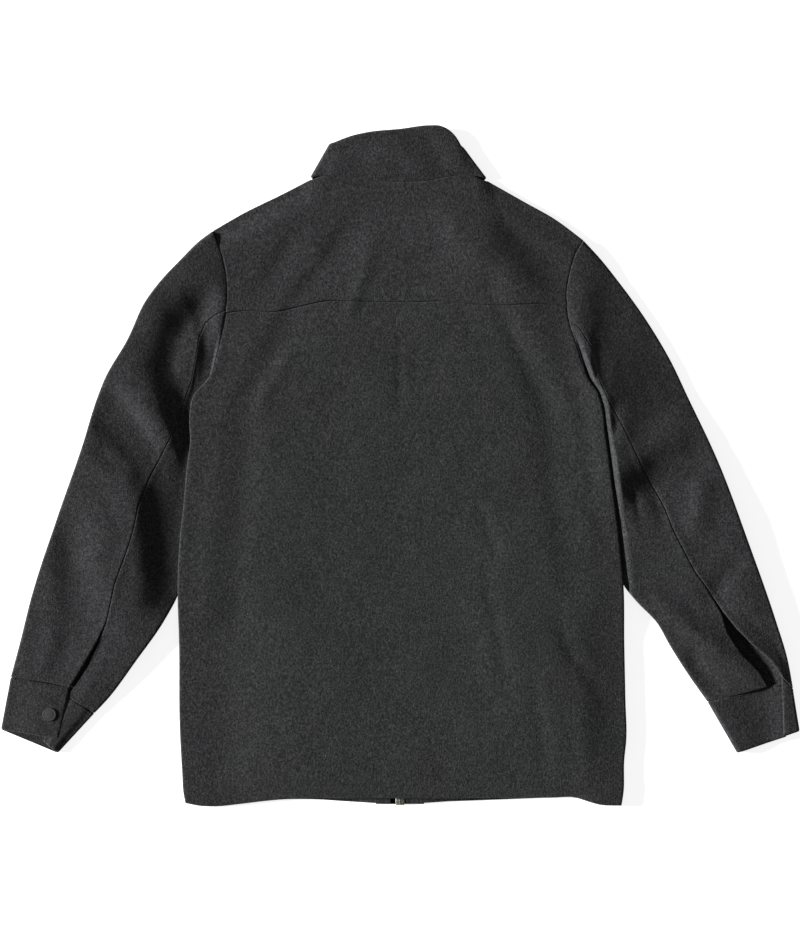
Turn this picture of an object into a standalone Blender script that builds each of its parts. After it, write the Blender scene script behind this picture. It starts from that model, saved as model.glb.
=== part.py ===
# Stand-collar wool coat, zipped shut and laid flat, face down, seen from its back.
# Tables and sizes are in millimetres: +X is the wearer's right side, +Y runs from the hem to the
# collar, and +Z is up from the surface that the coat lies on. Meshes are made in metres.
import math

import bpy
import numpy as np

MM = 0.001
ORIGIN = (0.25, 0.1)          # middle of the laid-out coat, from the centre back at mid length

CLOTH = 2.5                   # wool shell with its lining, pressed
COLLAR_CLOTH = 3.5            # two shells and a stiffener
GAP = 0.3                     # between pieces that are sewn or lie on each other
SEAM = 0.4                    # between the two edges of a seam, seen from above
FOLD = 2 * CLOTH + GAP        # a fold pressed flat: two walls
REST = FOLD + 3.2             # top of the back where it lies on the fronts, over the zip
PUFF = 3.4                    # how much the back swells between its pressed edges
TUCK = FOLD + GAP             # how far the body's side is lifted where a sleeve lies under it
TUCK_ENDS = (-225, 174)       # the stretch of the body's side that has a sleeve under it
TUCK_SLOPES = (55, 40)        # how long the lift takes to grow from either end of it
TUCK_REACH = (32, 82)         # the lift is whole up to the first, from the side, and gone at the second
SIDE_CLOSED = (108, 150)      # up the side, the back parts from the front between these
SIDE_SLOPE = (-10, 110)       # there the back rises off the front between these, from the side
SHOULDER_SLOPE = 34
NECK_SLOPES = ((-124, 22), (119, 20))
PUFF_ENDS = ((-422, 50), (345, 60))
PUFF_SIDE = (-4, 90)
PLACKET_TOP = (272, 20)       # the fronts come down again above the placket
COVERED = ((-215, 50), (172, 42))   # the stretch of a sleeve that dips beside the body's edge
COVER_EDGE = 8                # it is flat up to this distance from the edge

ZIP_EDGE = 12.0               # half the distance between the two front edges
ZIP_LEVEL = 3.5               # middle of the zip's thickness
TAPE_ENDS = (-420.5, 334.0)
TAPE_THICK = 0.7
CHAIN_HALF = 3.0              # the closed teeth: half the width
CHAIN_THICK = 2.4
BOX_HALF = 5.5
BOX_ENDS = (-423.5, -411.5)
BOX_LEVELS = (2.3, 5.0)
SLIDER_HALF = 5.0
SLIDER_ENDS = (319.0, 331.0)
SLIDER_LEVELS = (1.5, 5.6)
EAR_LOW = 0.2                 # the slider's two ears, which hold the pull tab between them
EAR_THICK = 1.3
PULL_HINGE = (0.0, 326.0, 0.7)
TAB_LENGTH = 30.0
TAB_HALF = 3.4
TAB_NECK_HALF = 2.2           # where the tab narrows between the ears
TAB_NECK = 5.0
TAB_THICK = 1.0
PLACKET_HALF = 30.0
PLACKET_ENDS = (-422.3, 248.0)
PLACKET_CLOTH = 2.2
PLACKET_SLOPE = (36, 54)      # the fronts come down to the surface between these, from the centre

# The outline of the body. Each edge table has the columns x, y.
LEFT_SIDE = [
    (-268, -421), (-270.5, -408), (-272, -385), (-275, -330), (-276, -217), (-277.5, -148),
    (-275, -93), (-270, -47), (-266, 0), (-262, 30), (-263, 60), (-259, 86),
    (-238, 112), (-230, 134), (-222.5, 165),
]
RIGHT_SIDE = [
    (276.5, -424), (279, -408), (280, -367), (282.5, -342), (281.5, -292), (280, -217),
    (279, -151), (272.5, -80), (266, -30), (261, 10), (256, 45), (253, 72), (247, 92),
    (236, 108), (226, 134), (218.5, 157), (212, 176),
]
LEFT_ARMHOLE_TOP = [(-217.5, 191), (-216, 226), (-221, 259), (-234, 293.5)]
RIGHT_ARMHOLE_TOP = [(208, 200), (207.5, 215), (211.5, 240), (217.5, 261), (229, 282)]
BACK_HEM = [
    (-268, -421), (-250, -424.5), (-230, -425), (-200, -422), (-172, -418.5), (-140, -415.5),
    (-60, -415), (60, -415), (190, -414), (220, -414), (235, -419), (250, -423), (276.5, -424),
]
FRONT_HEM_DROP = [(-275, 0.0), (-150, 0.5), (-100, 2.0), (-30, 6.0), (25, 6.0), (60, 4.0),
                  (130, 2.0), (180, 0.5), (285, 0.0)]
YOKE_SEAM = [
    (-217.5, 191), (-188, 194), (-156, 192.5), (-125, 199), (-90, 206), (-55, 205.5), (16, 204.5),
    (55, 205.5), (84, 203), (125, 200.5), (169, 202), (208, 200),
]
LEFT_SHOULDER = [(-234, 293.5), (-194, 316.5), (-150, 338), (-112, 357.5)]
BACK_NECK = [(-112, 357.5), (-107.5, 358.2), (-103, 360.2), (-80, 361), (-50, 358.5),
             (-30, 355.5), (0, 354.5), (30, 355.5), (60, 361), (90, 362.6), (97, 361),
             (101, 358.6), (104.5, 356.4), (109, 356)]
RIGHT_SHOULDER = [(109, 356), (156, 329.5), (194, 308), (229, 282)]
FRONT_NECK_LEFT = [(-112, 357.5), (-102.5, 343), (-87.5, 316.5), (-58, 288), (-12, 275)]
FRONT_NECK_RIGHT = [(109, 356), (98.5, 342), (82.5, 315.5), (54, 288), (12, 275)]

# Main creases of the back: half width on the left and on the right of the crease's line, height (a
# trough where negative), then the points of the line.
BODY_CREASES = [
    (14, 14, -2.6, (-37, 332), (-69, 289), (-94, 251), (-137, 195), (-175, 120)),
    (14, 14, -2.0, (-125, 295), (-162, 239), (-206, 189)),
    (14, 14, -2.6, (73, 330), (108, 215), (135, 160), (180, 70), (222, -5), (256, -74)),
    (60, 18, -6.5, (94, 340), (116, 300), (140, 272), (172, 250), (206, 222), (232, 190)),
    (34, 34, 2.0, (-225, 200), (-240, 120), (-245, 60)),
    (30, 30, 2.6, (100, -130), (118, -230), (140, -400)),
    (14, 14, 2.0, (200, -170), (240, -235), (272, -290)),
    (14, 14, 1.6, (-160, -310), (-185, -370), (-208, -415)),
]
# Where the coat stands higher as a whole. Columns: x, y, half width, half length, height.
SWELLINGS = [
    (215, 190, 70, 70, 4.5),
    (-232, 235, 50, 60, 2.5),
    (40, 250, 90, 70, 1.5),
]

# The sleeves in plan. Each edge table has the columns x, y, from the armhole to the cuff.
SLEEVES = {
    "left": {
        # Under the body's side the armhole turns back in, out of sight.
        "armhole": [(-234.6, 293.5), (-221.6, 259), (-216.6, 226), (-218.1, 191), (-223.1, 165),
                    (-230.6, 134), (-235, 113), (-235, 101), (-231, 88)],
        "outer": [(-234.6, 293.5), (-250, 281.5), (-273.8, 257.5), (-297.5, 232.5), (-316.3, 207.5),
                  (-340, 157.5), (-368.8, 107.5), (-378.8, 82.5), (-393.8, 32.5), (-428.8, -67.5),
                  (-461.3, -167.5), (-473.8, -217.5), (-486.3, -263.8)],
        "inner": [(-231, 88), (-237, 62), (-244, 30), (-251, -8), (-258.8, -55), (-266.3, -111.3),
                  (-275, -155), (-293.8, -192.5), (-328.8, -242.5), (-366.3, -292.5),
                  (-381.8, -308.8)],
        # Columns: share of the sleeve's length, back seam's place across the top sleeve's edge
        # and across the under sleeve's edge, from the outer fold to the inner one.
        "seam": [(0, .483, .483), (.05, .423, .423), (.08, .40, .40), (.11, .43, .43),
                 (.133, .517, .517), (.16, .59, .59), (.24, .612, .612), (.37, .563, .563),
                 (.435, .52, .52), (.51, .49, .49), (.585, .52, .52), (.69, .55, .55),
                 (.777, .637, .637), (.83, .65, .655), (.9, .635, .695), (1, .62, .70)],
        "top_end": (.963, .63),
        "under_end": (.985, .72),
        # Share of the length, and how far the outer side, the middle and the inner side rise over
        # the height of a pressed fold.
        "levels": [(0, 3.2, 3.2, 3.2), (.12, 10, 16, 14), (.30, 11, 17, 14), (.45, 9, 14, 13),
                   (.62, 7, 12, 10), (.80, 5, 8, 5), (1, 0, 3, 0)],
        "rise": 42,
        "creases": [
            (110, 24, -13.0, (-205, 206), (-240, 206), (-262, 210), (-282, 200), (-290, 168),
             (-294, 126), (-280, 84), (-262, 52)),
            (150, 18, -11.5, (-354, 30), (-330, -2), (-318, -40), (-313, -80), (-303, -130),
             (-296, -175), (-286, -230)),
            (24, 12, -2.6, (-400, -30), (-412, -80), (-424, -150), (-438, -225)),
        ],
    },
    "right": {
        "armhole": [(229.6, 282), (218.1, 261), (212.1, 240), (208.1, 215), (208.6, 200),
                    (212.6, 176), (219.1, 157), (226.6, 134), (230.5, 114), (230, 101),
                    (226, 88)],
        "outer": [(229.6, 282), (251.3, 257.5), (271.3, 232.5), (307.5, 182.5), (337.5, 132.5),
                  (361.3, 82.5), (396.3, 7.5), (433.8, -92.5), (468.8, -192.5), (483.8, -242.5),
                  (490, -277.5)],
        "inner": [(226, 88), (232, 60), (239, 28), (246.3, -8), (255, -55), (267.5, -111.3),
                  (280, -150), (293.8, -167.5), (321, -196.3), (336.3, -223.3), (358.8, -258.8),
                  (384, -294.5)],
        "seam": [(0, .52, .52), (.045, .455, .455), (.107, .45, .45), (.128, .48, .48),
                 (.145, .56, .56), (.193, .573, .573), (.302, .527, .527), (.408, .497, .497),
                 (.517, .453, .453), (.618, .46, .46), (.685, .47, .47), (.743, .443, .445),
                 (.797, .40, .43), (.845, .343, .44), (.91, .247, .40), (.958, .15, .32),
                 (1, .10, .28)],
        "top_end": (.978, .08),
        "under_end": (.975, .30),
        "levels": [(0, 3.2, 3.2, 3.2), (.10, 1, 9, 16), (.30, 1, 8, 16), (.42, 2, 6.5, 9),
                   (.60, 4, 7, 7), (.80, 8, 6, 5), (1, 5.2, 1, 0)],
        "rise": 30,
        "creases": [
            (60, 30, -4.5, (226, 250), (250, 190), (275, 130), (292, 80), (300, 40)),
            (24, 15, 4.0, (235, -24), (271, 0), (312, 31), (350, 55), (385, 80)),
            (14, 14, 3.0, (305, -145), (330, -176), (365, -209), (427, -249), (455, -290)),
            (14, 14, -2.6, (352, -230), (380, -262), (410, -298)),
        ],
    },
}
FRONT_SEAM = .86              # the hidden front seam of a sleeve, across its floor side
VENT_TOP = .83                # where the back seam opens, along the sleeve
SEAM_HALF = .002              # half the gap of a sleeve's seam, as a share across
LIFT_ROOM = 1.8               # left between a sleeve's lifted underneath and its top
SHOULDER_SHARE = .29          # a shoulder seam's share of the upper edge of the back or of a front

# The cuffs' lower corners in plan, and how high the tab end and the outer fold lie.
CUFFS = {
    "left": {"outer_hem": (-498.5, -329), "tab_hem": (-426.5, -341), "lap_hem": (-446, -344),
             "inner_hem": (-427.5, -358.5), "tab_level": 6.9, "fold_level": 4.05,
             "floor_level": 1.25, "lap": .54},
    "right": {"outer_hem": (499, -331), "tab_hem": (477.5, -335.5), "lap_hem": (462, -344),
              "inner_hem": (421, -358.5), "tab_level": 13.5, "fold_level": 10.0,
              "floor_level": 6.5, "lap": .20},
}
CUFF_SEAM = 0.7               # the cuffs are sewn on over the sleeves' ends
SNAP_RADIUS = 8.4
SNAP_HEIGHT = 2.4
LEFT_SNAP = (-437.5, -310.0)
RIGHT_SNAP = (484.0, -308.0)
RIGHT_SNAP_LEVEL = 2.95       # it faces the floor, under the raised edge of the cuff

COLLAR_TOP_BACK = [(-87, 402.5), (-60, 412.5), (-40, 417), (0, 421), (38, 425.5), (50, 425),
                   (62, 419), (72, 408), (77, 397)]
COLLAR_SEAM_BACK = [(-111.5, 362), (-104, 362.1), (-80, 362.1), (-50, 359.3), (-30, 356.3),
                    (0, 355.2), (30, 356.3), (60, 361.8), (90, 363.4), (98, 362.7), (107.5, 360.3)]
COLLAR_SEAM_LEFT = [(-12, 276), (-57, 289.5), (-84.5, 318), (-99, 345), (-111.5, 361.8)]
COLLAR_SEAM_RIGHT = [(107.5, 360.3), (95, 344), (79.5, 317), (53, 289.5), (12, 276)]
COLLAR_TOP_LEFT = [(-12, 335), (-45, 342), (-70, 365), (-87, 402.5)]
COLLAR_TOP_RIGHT = [(77, 397), (62, 362), (42, 342), (12, 335)]

WOOL = (0.030, 0.031, 0.031)
TAPE = (0.012, 0.012, 0.013)
METAL = (0.55, 0.54, 0.50)
SNAP_GREY = (0.075, 0.077, 0.080)


def step(value):
    """0 below 0, 1 above 1, and smooth between."""
    held = np.clip(value, 0.0, 1.0)
    return held * held * (3.0 - 2.0 * held)


def curve(points):
    """A smooth curve through the points; it takes shares of its length from 0 to 1."""
    knots = np.array(points, float)
    chord = np.r_[0.0, np.cumsum(np.linalg.norm(np.diff(knots, axis=0), axis=1))]
    slope = np.gradient(knots, chord, axis=0)
    fine = np.linspace(0.0, chord[-1], 40 * len(knots))
    span = np.clip(np.searchsorted(chord, fine, side="right") - 1, 0, len(knots) - 2)
    width = (chord[span + 1] - chord[span])[:, None]
    part = (fine - chord[span])[:, None] / width
    line = (
        (2 * part**3 - 3 * part**2 + 1) * knots[span]
        + (part**3 - 2 * part**2 + part) * width * slope[span]
        + (3 * part**2 - 2 * part**3) * knots[span + 1]
        + (part**3 - part**2) * width * slope[span + 1]
    )
    length = np.r_[0.0, np.cumsum(np.linalg.norm(np.diff(line, axis=0), axis=1))]
    share = length / length[-1]
    return lambda t: np.stack([np.interp(t, share, line[:, 0]), np.interp(t, share, line[:, 1])], -1)


def joined(parts, breaks):
    """One curve from several, each over its own stretch of the share from 0 to 1."""
    def place(t):
        t = np.atleast_1d(np.asarray(t, float))
        found = np.zeros(t.shape + (2,))
        for part, low, high in zip(parts, breaks[:-1], breaks[1:]):
            inside = (t >= low) & (t <= high)
            found[inside] = part((t[inside] - low) / (high - low))
        return found
    return place


def patch(low, high, left, right):
    """The plan of a panel between its four edges: across from left to right, up from low to high."""
    def place(across, up):
        across, up = np.broadcast_arrays(np.asarray(across, float), np.asarray(up, float))
        a, b = across[..., None], up[..., None]
        shape = across.shape + (2,)
        ruled = (1 - b) * low(across.ravel()).reshape(shape) + b * high(across.ravel()).reshape(shape)
        ruled = ruled + (1 - a) * left(up.ravel()).reshape(shape) + a * right(up.ravel()).reshape(shape)
        corners = (1 - a) * (1 - b) * low(np.zeros(1)) + a * (1 - b) * low(np.ones(1))
        return ruled - corners - (1 - a) * b * high(np.zeros(1)) - a * b * high(np.ones(1))
    return place


def creased(creases, x, y):
    """The sum of the creases at a place: soft across, and fading out towards both ends."""
    total = np.zeros(np.shape(x))
    for half_left, half_right, height, *line in creases:
        knots = np.array(line, float)
        lengths = np.linalg.norm(np.diff(knots, axis=0), axis=1)
        starts = np.r_[0.0, np.cumsum(lengths)]
        nearest = np.full(np.shape(x), np.inf)
        along = np.zeros(np.shape(x))
        half = np.full(np.shape(x), float(half_left))
        for start, end, length, before in zip(knots[:-1], knots[1:], lengths, starts):
            run = (end - start) / length
            reach = np.clip((x - start[0]) * run[0] + (y - start[1]) * run[1], 0, length)
            away = np.hypot(x - start[0] - reach * run[0], y - start[1] - reach * run[1])
            on_left = (y - start[1]) * run[0] - (x - start[0]) * run[1] > 0
            closer = away < nearest
            along = np.where(closer, before + reach, along)
            half = np.where(closer, np.where(on_left, half_left, half_right), half)
            nearest = np.where(closer, away, nearest)
        share = along / starts[-1]
        ends = step((share + 0.02) / 0.3) * step((1.02 - share) / 0.3)
        total = total + height * ends * np.exp(-((nearest / half) ** 2))
    return total


def swollen(x, y):
    total = np.zeros(np.shape(x))
    for x0, y0, half_x, half_y, height in SWELLINGS:
        total = total + height * np.exp(-(((x - x0) / half_x) ** 2) - ((y - y0) / half_y) ** 2)
    return total


def material(name, colour, roughness, metallic=0.0):
    made = bpy.data.materials.new(name)
    made.use_nodes = True
    shader = made.node_tree.nodes["Principled BSDF"]
    shader.inputs["Base Color"].default_value = (*colour, 1.0)
    shader.inputs["Roughness"].default_value = roughness
    shader.inputs["Metallic"].default_value = metallic
    return made


def solid(name, points, faces, finish):
    """One closed body from its points in millimetres, its faces turned outwards."""
    points = np.array(points, float)
    points[:, :2] -= ORIGIN
    mesh = bpy.data.meshes.new(name)
    volume = 0.0
    for face in faces:
        for second, third in zip(face[1:-1], face[2:]):
            volume += np.dot(points[face[0]], np.cross(points[second], points[third]))
    if volume < 0:
        faces = [face[::-1] for face in faces]
    mesh.from_pydata((points * MM).tolist(), [], faces)
    mesh.update()
    mesh.shade_smooth()
    mesh.set_sharp_from_angle(angle=math.radians(35))
    made = bpy.data.objects.new(name, mesh)
    mesh.materials.append(finish)
    bpy.context.scene.collection.objects.link(made)
    return made


def shell(name, outer, inner, finish):
    """A wall of cloth between two grids of points, closed round its four edges."""
    rows, columns = outer.shape[:2]
    points = np.concatenate([outer.reshape(-1, 3), inner.reshape(-1, 3)])
    count = rows * columns

    def at(row, column, side):
        return side * count + row * columns + column

    faces = []
    for row in range(rows - 1):
        for column in range(columns - 1):
            ring = [(row, column), (row, column + 1), (row + 1, column + 1), (row + 1, column)]
            faces.append([at(r, c, 0) for r, c in ring])
            faces.append([at(r, c, 1) for r, c in ring[::-1]])
    border = [(0, column) for column in range(columns)]
    border += [(row, columns - 1) for row in range(1, rows)]
    border += [(rows - 1, column) for column in range(columns - 2, -1, -1)]
    border += [(row, 0) for row in range(rows - 2, 0, -1)]
    for (r0, c0), (r1, c1) in zip(border, border[1:] + border[:1]):
        faces.append([at(r1, c1, 0), at(r0, c0, 0), at(r0, c0, 1), at(r1, c1, 1)])
    return solid(name, points, faces, finish)


def prism(name, outline, low, high, finish):
    """A flat piece of one thickness from its outline in plan."""
    count = len(outline)
    points = [(x, y, low) for x, y in outline] + [(x, y, high) for x, y in outline]
    faces = [list(range(count))[::-1], list(range(count, 2 * count))]
    for index in range(count):
        after = (index + 1) % count
        faces.append([index, after, count + after, count + index])
    return solid(name, points, faces, finish)


def panel(name, plan, low, thickness, finish):
    """A panel of the body: a grid in plan, its lower side at the given heights."""
    under = np.concatenate([plan, low[..., None]], -1)
    over = under + np.array([0.0, 0.0, thickness])
    return shell(name, over, under, finish)


def band(name, layers, rows, thickness, finish):
    """A band folded flat. Each layer has its place in plan, the height of its middle, the side
    that faces out (1 up, -1 down), and the shares across it; a half turn joins each to the next."""
    outer, inner = [], []
    for v in rows:
        runs = []
        for place, level, side, shares in layers:
            plan = place(v, shares)
            runs.append((plan, level(v, shares, plan), side))
        halves = [abs(after[1][0] - run[1][-1]) / 2 for run, after in zip(runs, runs[1:])]
        cut_runs = []
        for index, (plan, heights, side) in enumerate(runs):
            along = np.r_[0.0, np.cumsum(np.linalg.norm(np.diff(plan, axis=0), axis=1))]
            start = halves[index - 1] + thickness / 2 if index > 0 else 0.0
            end = along[-1]
            if index < len(halves):
                end -= halves[index] + thickness / 2
            reach = start + (end - start) * along / along[-1]
            points = [np.interp(reach, along, plan[:, 0]), np.interp(reach, along, plan[:, 1])]
            cut_runs.append(np.stack([*points, heights], -1))
        middles, normals = [], []
        for index, points in enumerate(cut_runs):
            side = runs[index][2]
            middles += list(points)
            normals += [np.array([0.0, 0.0, side])] * len(points)
            if index == len(halves):
                continue
            first, last = points[-1], cut_runs[index + 1][0]
            edge = runs[index][0][-1]
            ahead = edge - (first[:2] + last[:2]) / 2
            ahead /= np.linalg.norm(ahead)
            for turn in (45, 90, 135):
                angle = math.radians(turn)
                normal = np.array([*(ahead * math.sin(angle)), side * math.cos(angle)])
                centre = first + (last - first) * turn / 180
                centre[2] = (first[2] + last[2]) / 2
                middles.append(centre + normal * halves[index])
                normals.append(normal)
        middles, normals = np.array(middles), np.array(normals)
        outer.append(middles + normals * thickness / 2)
        inner.append(middles - normals * thickness / 2)
    return shell(name, np.array(outer), np.array(inner), finish)


def side_distance(x, y):
    """How far a place is from the body's nearer side edge."""
    left = np.array(LEFT_SIDE + LEFT_ARMHOLE_TOP, float)
    right = np.array(RIGHT_SIDE + RIGHT_ARMHOLE_TOP, float)
    edge_left = np.interp(y, left[:, 1], left[:, 0])
    edge_right = np.interp(y, right[:, 1], right[:, 0])
    return np.minimum(x - edge_left, edge_right - x)


def tuck(x, y):
    """The lift of the body's sides where the sleeves lie under them."""
    low, high = TUCK_ENDS
    whole, gone = TUCK_REACH
    along = step((high - y) / TUCK_SLOPES[1]) * step((y - low) / TUCK_SLOPES[0])
    return TUCK * along * step((gone - side_distance(x, y)) / (gone - whole))


def back_low(x, y):
    """The underside of the back: closed on the fronts at the sides and shoulders, free between."""
    def between(value, ends):
        return step((value - ends[0]) / (ends[1] - ends[0]))

    open_side = between(y, SIDE_CLOSED)
    inside = side_distance(x, y)
    from_side = open_side + (1 - open_side) * between(inside, SIDE_SLOPE)
    tips = [LEFT_SHOULDER[0], LEFT_SHOULDER[-1], RIGHT_SHOULDER[0], RIGHT_SHOULDER[-1]]
    shoulder = np.interp(x, [tip[0] for tip in tips], [tip[1] for tip in tips])
    (neck_left, left_slope), (neck_right, right_slope) = NECK_SLOPES
    neck = step((x - neck_left) / left_slope) * step((neck_right - x) / right_slope)
    from_shoulder = neck + (1 - neck) * step((shoulder - y) / SHOULDER_SLOPE)
    free = from_side * from_shoulder
    (low, low_slope), (high, high_slope) = PUFF_ENDS
    clear = step((y - low) / low_slope) * step((high - y) / high_slope) * between(inside, PUFF_SIDE)
    swell = np.maximum(PUFF + creased(BODY_CREASES, x, y), 0.2) * (0.08 + 0.92 * clear)
    return CLOTH + GAP + tuck(x, y) + free * (REST - FOLD + swell + swollen(x, y))


def front_low(x, y):
    """The underside of a front: on the floor, over the sleeve and over the placket."""
    near, far = PLACKET_SLOPE
    top, slope = PLACKET_TOP
    over = step((far - np.abs(x)) / (far - near)) * step((top - y) / slope)
    return tuck(x, y) + (PLACKET_CLOTH + GAP) * over


def make_body(wool):
    breaks = (0.0, SHOULDER_SHARE, 1 - SHOULDER_SHARE, 1.0)
    across = np.r_[0, .022, .048, .076, .105, np.linspace(.140, .5, 11)[:-1]]
    across = np.r_[across, 0.5, 1 - across[::-1]]
    low_rows = np.r_[np.linspace(0, .76, 13)[:-1], np.linspace(.76, 1.0, 9)]
    high_rows = np.linspace(0, 1, 9)
    left = curve(LEFT_SIDE + LEFT_ARMHOLE_TOP[:1])
    right = curve(RIGHT_SIDE + RIGHT_ARMHOLE_TOP[:1])
    left_top, right_top = curve(LEFT_ARMHOLE_TOP), curve(RIGHT_ARMHOLE_TOP)
    hem, yoke_seam = curve(BACK_HEM), curve(YOKE_SEAM)
    lower = patch(hem, yoke_seam, left, right)
    top = joined([curve(LEFT_SHOULDER), curve(BACK_NECK), curve(RIGHT_SHOULDER)], breaks)
    upper = patch(yoke_seam, top, left_top, right_top)

    plan = lower(across[None, :], low_rows[:, None])
    plan[-1, :, 1] -= SEAM / 2
    panel("back_panel", plan, back_low(plan[..., 0], plan[..., 1]), CLOTH, wool)
    plan = upper(across[None, :], high_rows[:, None])
    plan[0, :, 1] += SEAM / 2
    panel("back_yoke", plan, back_low(plan[..., 0], plan[..., 1]), CLOTH, wool)

    drop = np.array(FRONT_HEM_DROP)
    edge_columns = np.array([0, .022, .048, .076, .11, .155, .22, SHOULDER_SHARE, .32, .355, .39,
                             .425, .455, .478])
    sides = (
        ("front_left", edge_columns, LEFT_SHOULDER, FRONT_NECK_LEFT, -1),
        ("front_right", 1 - edge_columns, RIGHT_SHOULDER[::-1], FRONT_NECK_RIGHT, 1),
    )
    for name, columns, shoulder, neck, side in sides:
        plan = lower(columns[None, :], low_rows[:, None])
        fade = (1 - low_rows) ** 6
        plan[..., 1] -= fade[:, None] * np.interp(plan[0, :, 0], drop[:, 0], drop[:, 1])[None, :]
        centre = side * ZIP_EDGE
        plan[:, -1, 0] = centre
        # Above the yoke's level the columns fan out to the shoulder and the lower front neck.
        seam_row = plan[-1].copy()
        share = np.abs(columns - columns[0])
        edge = joined([curve(shoulder), curve(neck)], (0.0, SHOULDER_SHARE, share[-1]))
        top_row = edge(share)
        top_row[-1, 0] = centre
        armhole = left_top if side < 0 else right_top
        rows = []
        for row in high_rows[1:]:
            blend = (1 - row) * seam_row + row * top_row
            bow = armhole(np.array([row]))[0] - ((1 - row) * seam_row[0] + row * top_row[0])
            rows.append(blend + bow[None, :] * (1 - step(share / SHOULDER_SHARE))[:, None])
        plan = np.concatenate([plan, np.array(rows)])
        panel(name, plan, front_low(plan[..., 0], plan[..., 1]), CLOTH, wool)


def make_placket_and_zip(wool, tape, metal):
    columns = np.array([-PLACKET_HALF, -ZIP_EDGE, ZIP_EDGE, PLACKET_HALF])
    x, y = np.meshgrid(columns, np.linspace(*PLACKET_ENDS, 26))
    plan = np.stack([x, y], -1)
    panel("front_placket", plan, np.zeros(x.shape), PLACKET_CLOTH, wool)

    # Each tape is cut back beside the slider and the box, which lie in the same plane.
    tape_low, tape_high = TAPE_ENDS
    box_top, slider_foot = BOX_ENDS[1] + 1, SLIDER_ENDS[0] - 1
    for name, side in (("zip_tape_left", -1), ("zip_tape_right", 1)):
        outline = [
            (ZIP_EDGE - GAP, tape_low), (ZIP_EDGE - GAP, tape_high),
            (SLIDER_HALF + GAP, tape_high), (SLIDER_HALF + GAP, slider_foot),
            (CHAIN_HALF + GAP, slider_foot), (CHAIN_HALF + GAP, box_top),
            (BOX_HALF + GAP, box_top), (BOX_HALF + GAP, tape_low),
        ]
        placed = [(side * px, py) for px, py in outline][::side]
        prism(name, placed, ZIP_LEVEL - TAPE_THICK / 2, ZIP_LEVEL + TAPE_THICK / 2, tape)

    def block(name, half, low, high, under, over):
        outline = [(-half, low), (half, low), (half, high), (-half, high)]
        return prism(name, outline, under, over, metal)

    block("zip_chain", CHAIN_HALF, BOX_ENDS[1] + GAP, SLIDER_ENDS[0] - GAP,
          ZIP_LEVEL - CHAIN_THICK / 2, ZIP_LEVEL + CHAIN_THICK / 2)
    block("zip_box", BOX_HALF, *BOX_ENDS, *BOX_LEVELS)
    make_slider(metal)


def make_slider(metal):
    """The slider at the top of the closed zip, with two ears under it, and the pull tab that hangs
    between them towards the hem."""
    under, over = SLIDER_LEVELS
    ear = SLIDER_HALF - EAR_THICK
    section = [(-SLIDER_HALF, over), (-SLIDER_HALF, EAR_LOW), (-ear, EAR_LOW), (-ear, under),
               (ear, under), (ear, EAR_LOW), (SLIDER_HALF, EAR_LOW), (SLIDER_HALF, over)]
    count = len(section)
    points = [(x, y, z) for y in SLIDER_ENDS for x, z in section]
    faces = [[i, (i + 1) % count, count + (i + 1) % count, count + i] for i in range(count)]
    # Each end is a bridge over the ears and the two ears, so that no face is concave.
    for first in (0, count):
        for end in ([0, 1, 2, 3], [0, 3, 4, 7], [4, 5, 6, 7]):
            faces.append([first + i for i in (end if first else end[::-1])])
    solid("zip_slider", points, faces, metal)

    _, hinge, level = PULL_HINGE
    radius = TAB_THICK / 2
    foot, bevel = hinge - TAB_LENGTH, 2.0
    half_tab = [(TAB_HALF - bevel / 2, foot), (TAB_HALF, foot + bevel), (TAB_HALF, hinge - TAB_NECK),
                (TAB_NECK_HALF, hinge + radius)]
    outline = half_tab + [(-x, y) for x, y in half_tab[::-1]]
    prism("zip_pull_tab", outline, level - radius, level + radius, metal)


def make_collar(wool):
    seams = (curve(COLLAR_SEAM_LEFT), curve(COLLAR_SEAM_BACK), curve(COLLAR_SEAM_RIGHT))
    tops = (curve(COLLAR_TOP_LEFT), curve(COLLAR_TOP_BACK), curve(COLLAR_TOP_RIGHT))
    floor_level = COLLAR_CLOTH / 2
    back_level = REST - COLLAR_CLOTH / 2

    def layer(seam, top, level, side, count):
        def place(v, shares):
            return (1 - v) * seam(shares) + v * top(shares)

        def height(v, shares, plan):
            return np.full(len(shares), level)
        return place, height, side, np.linspace(0, 1, count)

    layers = [
        layer(seams[0], tops[0], floor_level, -1, 9),
        layer(seams[1], tops[1], back_level, 1, 23),
        layer(seams[2], tops[2], floor_level, -1, 9),
    ]
    band("collar", layers, np.linspace(0, 1, 5), COLLAR_CLOTH, wool)


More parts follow.
